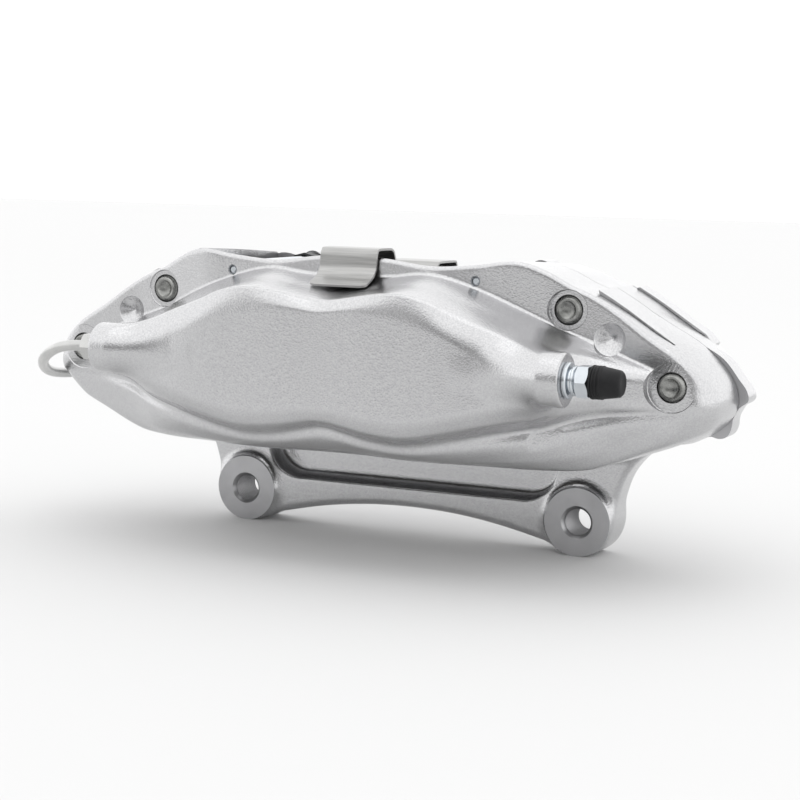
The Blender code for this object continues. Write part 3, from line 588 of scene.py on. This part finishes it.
def surface_net(field, origin, step):
    """Closed quad mesh of a field's zero surface: one vertex in each cell that the surface crosses."""
    shape = np.array(field.shape)
    cells = shape - 1
    strides = np.array([cells[1] * cells[2], cells[2], 1])
    inside = field < 0
    total = np.zeros((int(np.prod(cells)), 3), np.float32)
    count = np.zeros(int(np.prod(cells)), np.float32)
    quads = []
    for axis in range(3):
        low = [slice(None)] * 3
        high = [slice(None)] * 3
        low[axis], high[axis] = slice(0, -1), slice(1, None)
        low, high = tuple(low), tuple(high)
        places = np.argwhere(inside[low] != inside[high])
        others = [k for k in range(3) if k != axis]
        keep = np.all((places[:, others] > 0) & (places[:, others] < cells[others]), axis=1)
        places = places[keep]
        index = tuple(places.T)
        a, b = field[low][index], field[high][index]
        point = places.astype(np.float32)
        point[:, axis] += a / (a - b)
        around = []
        for du, dv in ((-1, -1), (0, -1), (0, 0), (-1, 0)):
            cell = places.copy()
            cell[:, others[0]] += du
            cell[:, others[1]] += dv
            flat = cell @ strides
            around.append(flat)
            for k in range(3):
                total[:, k] += np.bincount(flat, point[:, k], len(total)).astype(np.float32)
            count += np.bincount(flat, minlength=len(count)).astype(np.float32)
        quad = np.stack(around, axis=1)
        flip = inside[low][index] == (axis == 1)
        quad[flip] = quad[flip][:, ::-1]
        quads.append(quad)
    quads = np.concatenate(quads)
    used = np.flatnonzero(count > 0)
    number = np.full(len(count), -1, np.int64)
    number[used] = np.arange(len(used))
    points = total[used] / count[used][:, None] * step + np.array(origin)
    return points, number[quads]


def mesh_from(name, points, quads):
    mesh = bpy.data.meshes.new(name)
    mesh.vertices.add(len(points))
    mesh.vertices.foreach_set("co", points.astype(np.float32).ravel())
    mesh.loops.add(len(quads) * 4)
    mesh.loops.foreach_set("vertex_index", quads.astype(np.int32).ravel())
    mesh.polygons.add(len(quads))
    mesh.polygons.foreach_set("loop_start", np.arange(0, len(quads) * 4, 4, dtype=np.int32))
    mesh.update(calc_edges=True)
    mesh.validate()
    return mesh


def casting_mesh(name, side, low, high):
    """Meshes one half's field. low and high are its (x, depth, z) limits."""
    axes = [np.arange(a, b + VOXEL, VOXEL) for a, b in zip(low, high)]
    field = casting_field(side, *axes)
    points, quads = surface_net(field, [axis[0] for axis in axes], VOXEL)
    points[:, 1] *= side
    points = points * MM + np.array((0, DISC_Y, 0))
    if side < 0:
        quads = quads[:, ::-1]
    return mesh_from(name, points, quads), field


def field_at(field, places):
    """Trilinear values of a field at fractional cell places."""
    places = np.clip(places, 0.0, np.array(field.shape) - 1.001)
    cell = places.astype(int)
    share = places - cell
    total = np.zeros(len(places))
    for corner in range(8):
        step = np.array((corner & 1, corner >> 1 & 1, corner >> 2))
        weight = np.prod(np.where(step, share, 1 - share), axis=1)
        total += weight * field[tuple((cell + step).T)]
    return total


def field_places(side, low, points):
    """Fractional cell places of world points in a half's field."""
    places = np.array(points, float)
    places[:, 1] = side * (places[:, 1] - DISC_Y)
    return (places / MM - np.array(low)) / VOXEL


def field_normals(field, side, places):
    """Outward normals of a half's field, in the world frame."""
    normals = np.stack([field_at(field, places + offset) - field_at(field, places - offset)
                        for offset in np.eye(3)], axis=1)
    normals[:, 1] *= side
    return normals / (np.linalg.norm(normals, axis=1)[:, None] + 1e-12)


def mesh_values(items, name, width=1, kind=np.float32):
    """One attribute of all of a mesh's vertices, corners or faces, as an array."""
    values = np.zeros(len(items) * width, kind)
    items.foreach_get(name, values)
    return values.reshape(-1, width) if width > 1 else values


def bar(start, end, radius, sides=64):
    """bmesh cylinder between two (x, v, z) points."""
    first, last = at(*start), at(*end)
    length = (last - first).length / MM
    return spun([(0, 0), (radius, 0), (radius, length), (0, length)], first, last - first, sides)


def box_between(low, high):
    made = bmesh.new()
    first, last = at(*low), at(*high)
    size = Matrix.Diagonal((*(last - first), 1.0))
    bmesh.ops.create_cube(made, size=1.0, matrix=Matrix.Translation((first + last) / 2) @ size)
    return made


def prism(loop, near, far):
    """bmesh of a flat (x, z) outline between two depths."""
    made = bmesh.new()
    rings = [[made.verts.new(at(x, v, z)) for x, z in loop] for v in (near, far)]
    join_rings(made, *rings)
    made.faces.new(rings[0])
    made.faces.new(list(reversed(rings[1])))
    return made


def land_groove(hand, near_v, far_v):
    """Cutter for the narrow groove along one long edge of a land."""
    top = [(hand * x, z + 4.0) for x, z in LAND[:6]]
    foot = [(hand * (x - 0.5), z - 1.5) for x, z in reversed(LAND[:6])]
    return prism(top + foot, near_v, far_v)


def lands(side):
    """The machined land's share on one half, and the ridge on the inboard one."""
    made = []
    for hand in (-1, 1):
        loop = [(hand * x, z) for x, z in LAND]
        made.append(prism(loop, side * 0.05, LAND_OUT if side < 0 else LAND_IN + 1))
        if side > 0:
            made.append(prism([(hand * x, z) for x, z in RIDGE], LAND_IN, RIDGE_IN))
    return made


def cut(obj, cutters, operation="DIFFERENCE"):
    """Subtracts each bmesh from obj, or joins it, crisply."""
    for cutter in cutters:
        bmesh.ops.remove_doubles(cutter, verts=cutter.verts, dist=1e-7)
        bmesh.ops.recalc_face_normals(cutter, faces=cutter.faces)
        mesh = bpy.data.meshes.new("cutter")
        cutter.to_mesh(mesh)
        cutter.free()
        mesh.materials.append(MATERIALS["cast"])
        tool = bpy.data.objects.new("cutter", mesh)
        bpy.context.scene.collection.objects.link(tool)
        change = obj.modifiers.new("cut", "BOOLEAN")
        change.object = tool
        change.operation = operation
        change.solver = "MANIFOLD"
        graph = bpy.context.evaluated_depsgraph_get()
        result = bpy.data.meshes.new_from_object(obj.evaluated_get(graph))
        obj.modifiers.clear()
        old = obj.data
        obj.data = result
        bpy.data.meshes.remove(old)
        bpy.data.objects.remove(tool)
        bpy.data.meshes.remove(mesh)


def bore_cutter(side, piston, radius):
    wall = radius + 0.1
    depth_end = BORE_END_V - CAVITY_V
    profile = [(0, -2), (wall + 2.6, -2), (wall + 2.6, 3.3), (wall, 3.3), (wall, 8.9), (wall + 3, 8.9),
               (wall + 3, 12.1), (wall, 12.1), (wall, depth_end), (0, depth_end)]
    return spun(profile, at(piston.x / MM, side * CAVITY_V, piston.z / MM), (0, side, 0), 96)


def shared_cutters(side, name):
    """The machined features that both halves have."""
    parting, cavity = sorted((side * PARTING, -side * 9)), sorted((side * CAVITY_V, -side))
    made = [box_between((-160, parting[0], -30), (160, parting[1], 130)),
            box_between((-CAVITY_X, cavity[0], SHELF_Z if side > 0 else 0), (CAVITY_X, cavity[1], 130)),
            spun([(0, -SLOT_HALF), (SLOT_RADIUS, -SLOT_HALF), (SLOT_RADIUS, SLOT_HALF), (0, SLOT_HALF)],
                 at(0, 0, DISC_AXIS_Z), (0, 1, 0), 360)]
    for hand_name, hand in HANDS:
        made.append(bore_cutter(side, PISTONS[name, hand_name], half_width(f"piston_{name}_{hand_name}")))
        end = hand * BOSS_END_X
        axis = (hand, 0, 0)
        made.append(spun([(0, 0.5), (5.4, 0.5), (4.3, -1.2), (4.3, -15), (0, -15)],
                         at(end, side * BOSS_V, BOSS_Z), axis, 64))
        bowl = [(0, -3.6), (0.5, -3.2), (3.0, -1.9), (5.6, -0.7), (6.3, 0.0), (6.3, 8.0), (0, 8.0)]
        made.append(spun(bowl, at(hand * BOWL_X, side * BOWL_V, BOWL_Z), (0, side, 0), 64))
        for row in ("upper", "lower"):
            place = BOLTS[row, hand_name]
            x, z = place.x / MM, place.z / MM
            spot = SPOT_RADIUS[row]
            seat = SEAT_V if side < 0 else SEAT_V - 0.6
            made.append(spun([(0, 30), (spot, 30), (spot, 0.3), (spot - 0.3, 0), (5.7, 0), (5.2, -0.5),
                              (5.2, -60), (0, -60)], at(x, side * seat, z), (0, side, 0), 64))
    return made


def thread_bore(centre, axis, length, radius, pitch):
    """Cutter for a threaded through hole with chamfered mouths."""
    mouth, root = radius + 1.3, radius + 0.2
    profile = [(0, -0.5), (mouth, -0.5), (mouth, 0.0), (root, 1.1)]
    profile += threads(radius + 0.7, pitch, 1.4, length - 1.4, 0.7)
    profile += [(root, length - 1.1), (mouth, length), (mouth, length + 0.5), (0, length + 0.5)]
    return spun(profile, centre, axis, 64)


def mark_machined(obj, tests):
    """Gives the machined finish to faces that any test accepts, from their centre and normal."""
    mesh = obj.data
    mesh.materials.clear()
    mesh.materials.append(MATERIALS["cast"])
    mesh.materials.append(MATERIALS["machined"])
    centres = mesh_values(mesh.polygons, "center", 3)
    normals = mesh_values(mesh.polygons, "normal", 3)
    x, z = centres[:, 0] / MM, centres[:, 2] / MM
    v = (centres[:, 1] - DISC_Y) / MM
    accepted = np.zeros(len(x), bool)
    for test in tests:
        accepted |= test(x, v, z, normals)
    mesh.polygons.foreach_set("material_index", accepted.astype(np.int32))
    mesh.update()


def near(x, z, place_x, place_z, radius):
    return (x - place_x) ** 2 + (z - place_z) ** 2 < radius ** 2


def bore_test(side, name):
    def test(x, v, z, normals):
        found = np.zeros(len(x), bool)
        for hand_name, _ in HANDS:
            piston = PISTONS[name, hand_name]
            radius = half_width(f"piston_{name}_{hand_name}") + 3.2
            deep = (side * v > CAVITY_V - 0.1) & (side * v < BORE_END_V + 1.1)
            found |= near(x, z, piston.x / MM, piston.z / MM, radius) & deep
        return found
    return test


def parting_test(x, v, z, normals):
    return (np.abs(v) < PARTING + 0.05) & (np.abs(normals[:, 1]) > 0.99)


def shade_casting(obj, field, side, low):
    """Smooth shading: by the field's own normals on the cast surface and by angle on cut faces."""
    mesh = obj.data
    mesh.shade_smooth()
    mesh.set_sharp_from_angle(angle=math.radians(38))
    vertex_places = field_places(side, low, mesh_values(mesh.vertices, "co", 3))
    centre_places = field_places(side, low, mesh_values(mesh.polygons, "center", 3))
    corner = mesh_values(mesh.loops, "vertex_index", kind=np.int32)
    totals = mesh_values(mesh.polygons, "loop_total", kind=np.int32)
    starts = mesh_values(mesh.polygons, "loop_start", kind=np.int32)
    smooth = field_normals(field, side, vertex_places)[corner]
    flat = np.repeat(mesh_values(mesh.polygons, "normal", 3), totals, axis=0)
    on_surface = np.abs(field_at(field, vertex_places))[corner] < 0.2
    agrees = on_surface & (np.sum(smooth * flat, axis=1) > 0.82)
    cast = np.logical_and.reduceat(agrees, starts) & (np.abs(field_at(field, centre_places)) < 0.1)
    cast = np.repeat(cast, totals)
    normals = mesh_values(mesh.corner_normals, "vector", 3)
    normals[cast] = smooth[cast]
    mesh.normals_split_custom_set(normals)


def outboard_casting():
    low = (-147, -2.4, 22)
    mesh, field = casting_mesh("outboard_casting", -1, low, (147, 69, 111))
    obj = object_from("outboard_casting", mesh, "cast", "caliper", "cast_aluminium", "outboard_body")
    cutters = shared_cutters(-1, "outboard")
    for hand_name, _ in HANDS:
        pin = PINS[hand_name]
        x, z = pin.x / MM, pin.z / MM
        cutters.append(spun([(0, -8), (1.7, -8), (1.7, -1.2), (2.2, -0.4), (2.2, 0.8), (0, 0.8)],
                            at(x, -WALL_FACE_V, z), (0, -1, 0), 48))
    cutters += [land_groove(hand, LAND_OUT, LAND_OUT - 0.7) for hand in (-1, 1)]
    cut(obj, lands(-1), "UNION")
    cut(obj, cutters)
    mark_machined(obj, [bore_test(-1, "outboard"), parting_test])
    shade_casting(obj, field, -1, low)


def inboard_casting():
    low = (-147, -2.4, -18)
    mesh, field = casting_mesh("inboard_casting", 1, low, (153, 72, 111))
    obj = object_from("inboard_casting", mesh, "cast", "caliper", "cast_aluminium", "inboard_body")
    cutters = shared_cutters(1, "inboard")
    cutters.append(bar((0, BOSS_V - 1, BOSS_Z), (0, 70, BOSS_Z), 4.5))
    # the lugs' faces, and their threaded holes
    for hand_name, hand in HANDS:
        x = hand * LUG_X
        cutters.append(bar((x, LUG_FACE_V, 0), (x, LUG_FACE_V - 8, 0), LUG_RADIUS + 1.2, 96))
        cutters.append(bar((x, LUG_MATE_V, 0), (x, LUG_MATE_V + 8, 0), LUG_RADIUS + 3, 96))
        cutters.append(thread_bore(at(x, LUG_FACE_V, 0), (0, 1, 0), LUG_MATE_V - LUG_FACE_V,
                                   LUG_THREAD_RADIUS, LUG_THREAD_PITCH))
        pin = PINS[hand_name]
        cutters.append(spun([(0, 22), (4.7, 22), (4.7, -8), (3.8, -8), (3.8, -40), (0, -40)],
                            at(pin.x / MM, PIN_BOSS_V, pin.z / MM), (0, 1, 0), 48))
    cutters += [land_groove(hand, LAND_IN, LAND_IN - 0.7) for hand in (-1, 1)]
    cut(obj, lands(1), "UNION")
    cut(obj, cutters)

    def lug_test(x, v, z, normals):
        found = np.zeros(len(x), bool)
        for _, hand in HANDS:
            close = near(x, z, hand * LUG_X, 0, LUG_RADIUS + 0.6)
            faces = (np.abs(v - LUG_FACE_V) < 0.05) | (np.abs(v - LUG_MATE_V) < 0.05)
            found |= close & faces | near(x, z, hand * LUG_X, 0, 6.9) & (v > 18)
        return found

    mark_machined(obj, [bore_test(1, "inboard"), parting_test, lug_test])
    shade_casting(obj, field, 1, low)


# ---- hydraulics and fasteners

def bleeder(side_name, side):
    """Bleeder screw: seat collar, hexagon, waist and nipple, with its ribbed rubber cap."""
    place = at(BOSS_END_X, side * BOSS_V, BOSS_Z)
    axis = (1, 0, 0)
    shank = threads(4.0, 1.25, -11, -0.4, 0.5)
    profile = ([(0, -13), (2, -13)] + shank
               + [(4.0, 0.05), (6.3, 0.05), (6.6, 0.35), (6.6, 1.3), (6.2, 1.7), (4.3, 1.8), (4.1, 2.6),
                  (5.2, 2.8), (5.4, 3.1), (5.4, 3.6), (5.1, 3.9), (4.2, 4.1), (4.6, 4.9), (4.6, 9.3),
                  (3.0, 9.6), (2.9, 11.4), (3.5, 12.4), (2.7, 14.5), (2.3, 17.2), (1.0, 17.4), (0, 17.4)])
    screw = merged(spun(profile, place, axis, 64),
                   chamfered_hexagon(11.0, 4.5, 9.4, place, axis))
    object_from(f"bleeder_screw_fine_{side_name}", finish_mesh(screw, "bleeder_screw"), "zinc",
                f"{side_name}_bleeder", "zinc_steel", f"bleeder_screw_{side_name}")
    ribs = []
    for i in range(3):
        foot = 10.6 + i * 1.2
        ribs += [(5.7, foot), (6.0, foot + 0.25), (6.0, foot + 0.65), (5.7, foot + 0.9)]
    wall = ([(3.9, 9.7), (5.7, 9.6), (6.1, 9.9), (6.1, 10.3)] + ribs
            + [(5.65, 14.4), (5.35, 16.4), (5.0, 18.6), (4.75, 19.9), (4.1, 20.6), (3.4, 20.85),
               (2.9, 20.75), (0, 20.6)])
    inner = [(3.9, 9.7), (3.9, 17.8), (0, 18.0)]
    cap = merged(spun(wall, place, axis, 64), spun(inner, place, axis, 64))
    bmesh.ops.remove_doubles(cap, verts=cap.verts, dist=1e-6)
    object_from(f"bleeder_cap_fine_{side_name}", finish_mesh(cap, "bleeder_cap", 50), "rubber",
                f"{side_name}_bleeder_cap", "black_rubber", f"bleeder_cap_{side_name}")


def bridge_bolt(row, hand_name):
    """Flange bolt with a rolled thread and a cupped end."""
    node = f"bridge_bolt_{row}_{hand_name}"
    place = BOLTS[row, hand_name]
    low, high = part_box(node)
    seat_v = SEAT_V - 0.3
    length = seat_v - v_of(low.y)
    end = -length
    profile = [(0, end + 1.5), (1.6, end + 1.35), (2.8, end + 0.75), (3.4, end + 0.1), (4.1, end),
               (4.45, end + 0.25), (4.9, end + 1.0)]
    profile += threads(5.0, 1.5, end + 1.2, end + 26, 0.6)
    profile += [(4.6, end + 27), (4.6, -1.0), (5.0, 0.0), (7.3, 0.0), (7.5, 0.4), (7.5, 1.3), (6.4, 2.3),
                (0, 2.3)]
    seat = at(place.x / MM, seat_v, place.z / MM)
    head = chamfered_hexagon(12.0, 2.0, 9.0, seat, (0, 1, 0), chamfer=0.8)
    bolt = merged(spun(profile, seat, (0, 1, 0), 64), head)
    object_from(f"{node}_fine", finish_mesh(bolt, node), "bolt", "caliper", "bolt_steel", node)


TUBE_HALF = [(-88.0, -57.5, 65.5), (-100.0, -57.5, 65.5), (-112.0, -57.5, 65.4), (-121.0, -56.0, 63.6),
             (-131.5, -49.5, 59.0), (-139.5, -39.5, 54.2), (-144.6, -27.5, 50.4), (-146.8, -14.0, 48.4),
             (-147.2, 0.0, 48.0)]


def smooth_path(points, steps):
    """Open curve through 3-D points."""
    ends = [2 * Vector(points[0]) - Vector(points[1])] + [Vector(p) for p in points]
    ends.append(2 * Vector(points[-1]) - Vector(points[-2]))
    made = []
    for i in range(len(points) - 1):
        made += [catmull_rom(*ends[i:i + 4], step / steps) for step in range(steps)]
    return made + [Vector(points[-1])]


def swept(points, radius, sides=24):
    """Closed tube along 3-D points."""
    made = bmesh.new()
    rings = []
    across = Vector((0, 0, 1))
    for i, point in enumerate(points):
        along = (points[min(i + 1, len(points) - 1)] - points[max(i - 1, 0)]).normalized()
        first = across.cross(along).normalized()
        across = along.cross(first).normalized()
        rings.append([made.verts.new(point + (first * math.cos(math.tau * k / sides)
                                              + across * math.sin(math.tau * k / sides)) * radius)
                      for k in range(sides)])
    for first, second in zip(rings, rings[1:]):
        join_rings(made, first, second)
    made.faces.new(list(reversed(rings[0])))
    made.faces.new(rings[-1])
    return made


def crossover():
    """Steel tube round the left-hand end, and its two flare nuts."""
    far_half = [(x, -v, z) for x, v, z in reversed(TUBE_HALF[:-1])]
    route = smooth_path([at(*point) for point in TUBE_HALF + far_half], 6)
    tube = finish_mesh(swept(route, TUBE_RADIUS * MM), "crossover_tube", 60)
    object_from("crossover_tube_fine", tube, "pale_zinc", "caliper", "zinc_steel", "crossover_tube")
    for side_name, side in SIDES:
        place = at(-BOSS_END_X, side * BOSS_V, BOSS_Z)
        axis = (-1, 0, 0)
        sleeve = [(2.55, -11), (3.4, -11)] + threads(4.0, 1.0, -10.4, -0.6, 0.45)
        sleeve += [(3.7, 0.1), (3.7, 0.7), (4.4, 1.0), (4.4, 6.6), (3.6, 7.2), (2.8, 7.4), (2.55, 7.2)]
        nut = merged(spun(sleeve, place, axis, 64),
                     chamfered_hexagon(10.0, 0.8, 6.9, place, axis, bore=3.4))
        object_from(f"tube_nut_fine_{side_name}", finish_mesh(nut, "tube_nut"), "pale_zinc",
                    "caliper", "zinc_steel", f"tube_nut_{side_name}")


def piston(side_name, side, hand_name):
    """Turned cup piston with a groove near its nose, and the seals round it."""
    node = f"piston_{side_name}_{hand_name}"
    low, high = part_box(node)
    radius = half_width(node)
    length = (high.y - low.y) / MM
    place = PISTONS[side_name, hand_name].copy()
    place.y -= side * length / 2 * MM
    inner = radius - 3.0
    profile = [(0, length - 5.0), (inner - 2.0, length - 5.4), (inner - 0.6, length - 7.0),
               (inner - 0.6, 0.4), (inner, 0), (radius - 0.7, 0), (radius - 0.2, 0.5), (radius - 0.2, 2.2),
               (radius - 1.2, 2.6), (radius - 1.2, 4.0), (radius, 4.4), (radius, length - 1.2),
               (radius - 0.8, length), (0, length)]
    outer = spun(profile, place, (0, side, 0), 96)
    object_from(f"{node}_fine", finish_mesh(outer, node), "piston", f"{side_name}_{hand_name}_piston",
                "piston_alloy", node)
    for kind, key_v, half in (("dust_seal", CAVITY_V, None), ("pressure_seal", PRESSURE_SEAL_V, 1.45)):
        seal = f"{kind}_{side_name}_{hand_name}"
        outer_radius = half_width(seal)
        if half is None:
            ring = [(radius + 0.15, 0.2), (radius + 0.1, 1.0), (radius + 0.5, 1.8), (radius + 1.1, 2.9),
                    (outer_radius, 2.9), (outer_radius, 0.4), (outer_radius - 0.3, 0.15),
                    (radius + 0.5, 0.05)]
        else:
            ring = [(radius + 0.15, -half), (radius + 0.15, half), (outer_radius, half),
                    (outer_radius, -half)]
        made = spun(ring, at(place.x / MM, side * key_v, place.z / MM), (0, side, 0), 96)
        object_from(f"{seal}_fine", finish_mesh(made, seal), "rubber", "caliper", "black_rubber", seal)


def pad_pin(hand_name):
    node = f"pad_pin_{hand_name}"
    low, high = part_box(node)
    pin = PINS[hand_name]
    tip, head = v_of(low.y), v_of(high.y)
    radius = 3.5
    profile = [(0, tip + 1.4), (1.0, tip + 1.4), (1.5, tip + 1.8), (1.5, tip + 2.9),
               (radius - 0.4, tip + 2.9), (radius, tip + 3.3), (radius, head - 10.6),
               (3.2, head - 10.4), (3.2, head - 2.6), (4.7, head - 2.4), (4.8, head - 2.0), (4.8, head - 0.9),
               (4.5, head - 0.2), (4.1, head), (2.0, head - 0.25), (0, head - 0.3)]
    place = at(pin.x / MM, 0, pin.z / MM)
    object_from(f"{node}_fine", finish_mesh(spun(profile, place, (0, 1, 0), 48), node), "zinc",
                f"{hand_name}_pin", "zinc_steel", node)
    collar = f"pin_collar_{hand_name}"
    seat = head - 3.0
    ring = [(3.5, seat - 7), (3.5, seat - 0.2), (4.3, seat - 0.2), (4.4, seat - 0.4), (4.4, seat - 6.7),
            (4.2, seat - 7)]
    object_from(f"{collar}_fine", finish_mesh(spun(ring, place, (0, 1, 0), 48), collar), "stainless",
                f"{hand_name}_pin", "stainless_sheet", collar)


# ---- clip and pads

CLIP_WIDTH = 24.2
CLIP_THICKNESS = 0.9
CLIP_LINE = [(-45.0, 93.3), (-42.2, 94.6), (-39.4, 95.9), (-37.0, 97.7), (-35.3, 100.2), (-34.95, 104.4),
             (-34.2, 106.2), (-32.6, 106.9), (-24.0, 106.9), (-21.8, 106.4), (-20.4, 105.0), (-18.0, 98.6),
             (-16.2, 96.4), (-13.6, 95.6), (13.6, 95.6), (16.2, 96.0), (18.0, 97.0), (20.4, 98.8),
             (21.8, 99.8), (24.0, 100.2), (36.8, 100.2), (38.6, 99.8), (39.4, 98.6), (39.7, 97.0),
             (40.8, 95.2), (43.5, 93.6), (46.5, 92.4)]


def strap(line, width_at, thickness, place):
    """Sheet strip along (a, b) points; width_at gives its half width there and place its world point."""
    made = bmesh.new()
    columns = np.linspace(-1, 1, 9)
    tops, bottoms = [], []
    for i, point in enumerate(line):
        along = (line[min(i + 1, len(line) - 1)] - line[max(i - 1, 0)]).normalized()
        normal = Vector((-along.y, along.x))
        half = width_at(i / (len(line) - 1))
        bottoms.append([made.verts.new(place(point, half * c)) for c in columns])
        tops.append([made.verts.new(place(point + normal * thickness, half * c)) for c in columns])
    last = len(columns) - 1
    for i in range(len(line) - 1):
        for c in range(last):
            made.faces.new((bottoms[i][c], bottoms[i][c + 1], bottoms[i + 1][c + 1], bottoms[i + 1][c]))
            made.faces.new((tops[i][c], tops[i + 1][c], tops[i + 1][c + 1], tops[i][c + 1]))
        for c in (0, last):
            made.faces.new((bottoms[i][c], bottoms[i + 1][c], tops[i + 1][c], tops[i][c]))
    for i in (0, len(line) - 1):
        for c in range(last):
            made.faces.new((bottoms[i][c], bottoms[i][c + 1], tops[i][c + 1], tops[i][c]))
    return made


def anti_rattle_clip():
    """Strap over both top edges, with four spring arms that press on the pads."""
    line = [p.to_2d() for p in smooth_path([Vector((v, z, 0)) for v, z in CLIP_LINE], 6)]

    def half_width_at(share):
        edge = min(share, 1 - share)
        corner = 0.022
        if edge >= corner:
            return CLIP_WIDTH / 2
        inset = 1 - math.sqrt(max(0.0, 1 - (1 - edge / corner) ** 2))
        return CLIP_WIDTH / 2 - 2.6 * inset

    made = strap(line, half_width_at, CLIP_THICKNESS, lambda p, across: at(across, p.x, p.y))
    arms = [(9.0, 95.7), (12.0, 95.9), (17.0, 97.9), (24.0, 98.1), (34.0, 93.2), (40.0, 91.4), (42.0, 91.9)]
    for side in (-1, 1):
        for hand in (-1, 1):
            route = smooth_path([Vector((x, z, 0)) for x, z in arms], 5)
            centre = side * 12.0
            piece = strap([p.to_2d() for p in route], lambda share: 2.2, CLIP_THICKNESS,
                          lambda p, across, centre=centre, hand=hand: at(hand * p.x, centre + across, p.y))
            made = merged(made, piece)
    mesh = finish_mesh(made, "anti_rattle_clip", 40)
    obj = object_from("anti_rattle_clip_fine", mesh, "stainless", "caliper", "stainless_sheet",
                      "anti_rattle_clip")
    bevel = obj.modifiers.new("edges", "BEVEL")
    bevel.width = 0.12 * MM
    bevel.segments = 2
    bevel.limit_method = "ANGLE"
    bevel.angle_limit = math.radians(50)


def dress_cad_nodes():
    """Finishes for the flat pad pieces, which keep their CAD shape."""
    finishes = {"pad_backing_plate": "backing", "pad_lining": "friction", "pad_shim": "stainless"}
    for side_name, _ in SIDES:
        for stem, key in finishes.items():
            node = frame["nodes"][f"{stem}_{side_name}"]
            node.data.materials.clear()
            node.data.materials.append(MATERIALS[key])


# ---- stage

def stage():
    low, _ = cad_box
    made = bmesh.new()
    bmesh.ops.create_grid(made, x_segments=1, y_segments=1, size=6.0,
                          matrix=Matrix.Translation((0, 0, low[2] - 0.5 * MM)))
    mesh = bpy.data.meshes.new("floor")
    made.to_mesh(mesh)
    made.free()
    floor = bpy.data.objects.new("floor", mesh)
    bpy.context.scene.collection.objects.link(floor)
    material, _, _, shader = new_material("pale_floor")
    shader.inputs["Base Color"].default_value = (0.66, 0.66, 0.66, 1.0)
    shader.inputs["Roughness"].default_value = 0.9
    mesh.materials.append(material)


DIM_AZIMUTH = math.radians(6)
DIM_STOPS = [(0.62, grey(1.0)), (0.80, grey(0.45)), (0.93, grey(0.25))]
HEIGHT_STOPS = [(0.22, grey(0.0)), (0.5, grey(1.0))]


def top_light():
    """Large soft light overhead, aimed at the middle of the outboard face."""
    data = bpy.data.lights.new("top", "AREA")
    data.shape = "RECTANGLE"
    data.size, data.size_y = 1.4, 1.0
    data.energy = 1.0
    light = bpy.data.objects.new("top", data)
    light.location = (0.1, -0.1, 1.3)
    light.rotation_euler = (Vector((0, -0.04, 0.05)) - light.location).to_track_quat("-Z", "Y").to_euler()
    bpy.context.scene.collection.objects.link(light)


def world():
    """Bright all round and above, with a dimmer zone low in front, as in a white tent."""
    made = bpy.data.worlds.new("studio")
    bpy.context.scene.world = made
    made.use_nodes = True
    nodes, links = made.node_tree.nodes, made.node_tree.links
    background = nodes["Background"]
    coords = nodes.new("ShaderNodeTexCoord")
    split = nodes.new("ShaderNodeSeparateXYZ")
    links.new(coords.outputs["Generated"], split.inputs["Vector"])
    front = nodes.new("ShaderNodeVectorMath")
    front.operation = "DOT_PRODUCT"
    front.inputs[1].default_value = (math.sin(DIM_AZIMUTH), -math.cos(DIM_AZIMUTH), 0.0)
    links.new(coords.outputs["Generated"], front.inputs[0])
    dim = ramp(nodes, links, front.outputs["Value"], DIM_STOPS)
    height = ramp(nodes, links, split.outputs["Z"], HEIGHT_STOPS)
    mix = nodes.new("ShaderNodeMix")
    mix.data_type = "RGBA"
    links.new(height, mix.inputs["Factor"])
    links.new(dim, mix.inputs[6])
    mix.inputs[7].default_value = (*grey(1.0), 1.0)
    links.new(mix.outputs[2], background.inputs["Color"])
    background.inputs["Strength"].default_value = 1.45


def camera():
    """Seen from outboard, a little from the right and above, with a short telephoto lens."""
    data = bpy.data.cameras.new("camera")
    data.sensor_width = 36.0
    data.lens = 83.75
    obj = bpy.data.objects.new("camera", data)
    bpy.context.scene.collection.objects.link(obj)
    azimuth, elevation, roll = (math.radians(a) for a in (25.565, 6.982, 1.218))
    target = at(19.43, -28.0, 49.84)
    back = Vector((math.sin(azimuth) * math.cos(elevation), -math.cos(azimuth) * math.cos(elevation),
                   math.sin(elevation)))
    right = Vector((math.cos(azimuth), math.sin(azimuth), 0))
    up = back.cross(right)
    side = math.cos(roll) * right + math.sin(roll) * up
    top = math.cos(roll) * up - math.sin(roll) * right
    turn = Matrix((side, top, back)).transposed().to_4x4()
    obj.matrix_world = Matrix.Translation(target + back * 0.7165) @ turn
    bpy.context.scene.camera = obj


def main():
    outboard_casting()
    inboard_casting()
    for side_name, side in SIDES:
        bleeder(side_name, side)
        for hand_name, _ in HANDS:
            piston(side_name, side, hand_name)
    for hand_name, _ in HANDS:
        pad_pin(hand_name)
        for row in ("upper", "lower"):
            bridge_bolt(row, hand_name)
    crossover()
    anti_rattle_clip()
    dress_cad_nodes()
    stage()
    top_light()
    world()
    camera()
    bpy.context.scene.view_settings.view_transform = "Standard"


main()
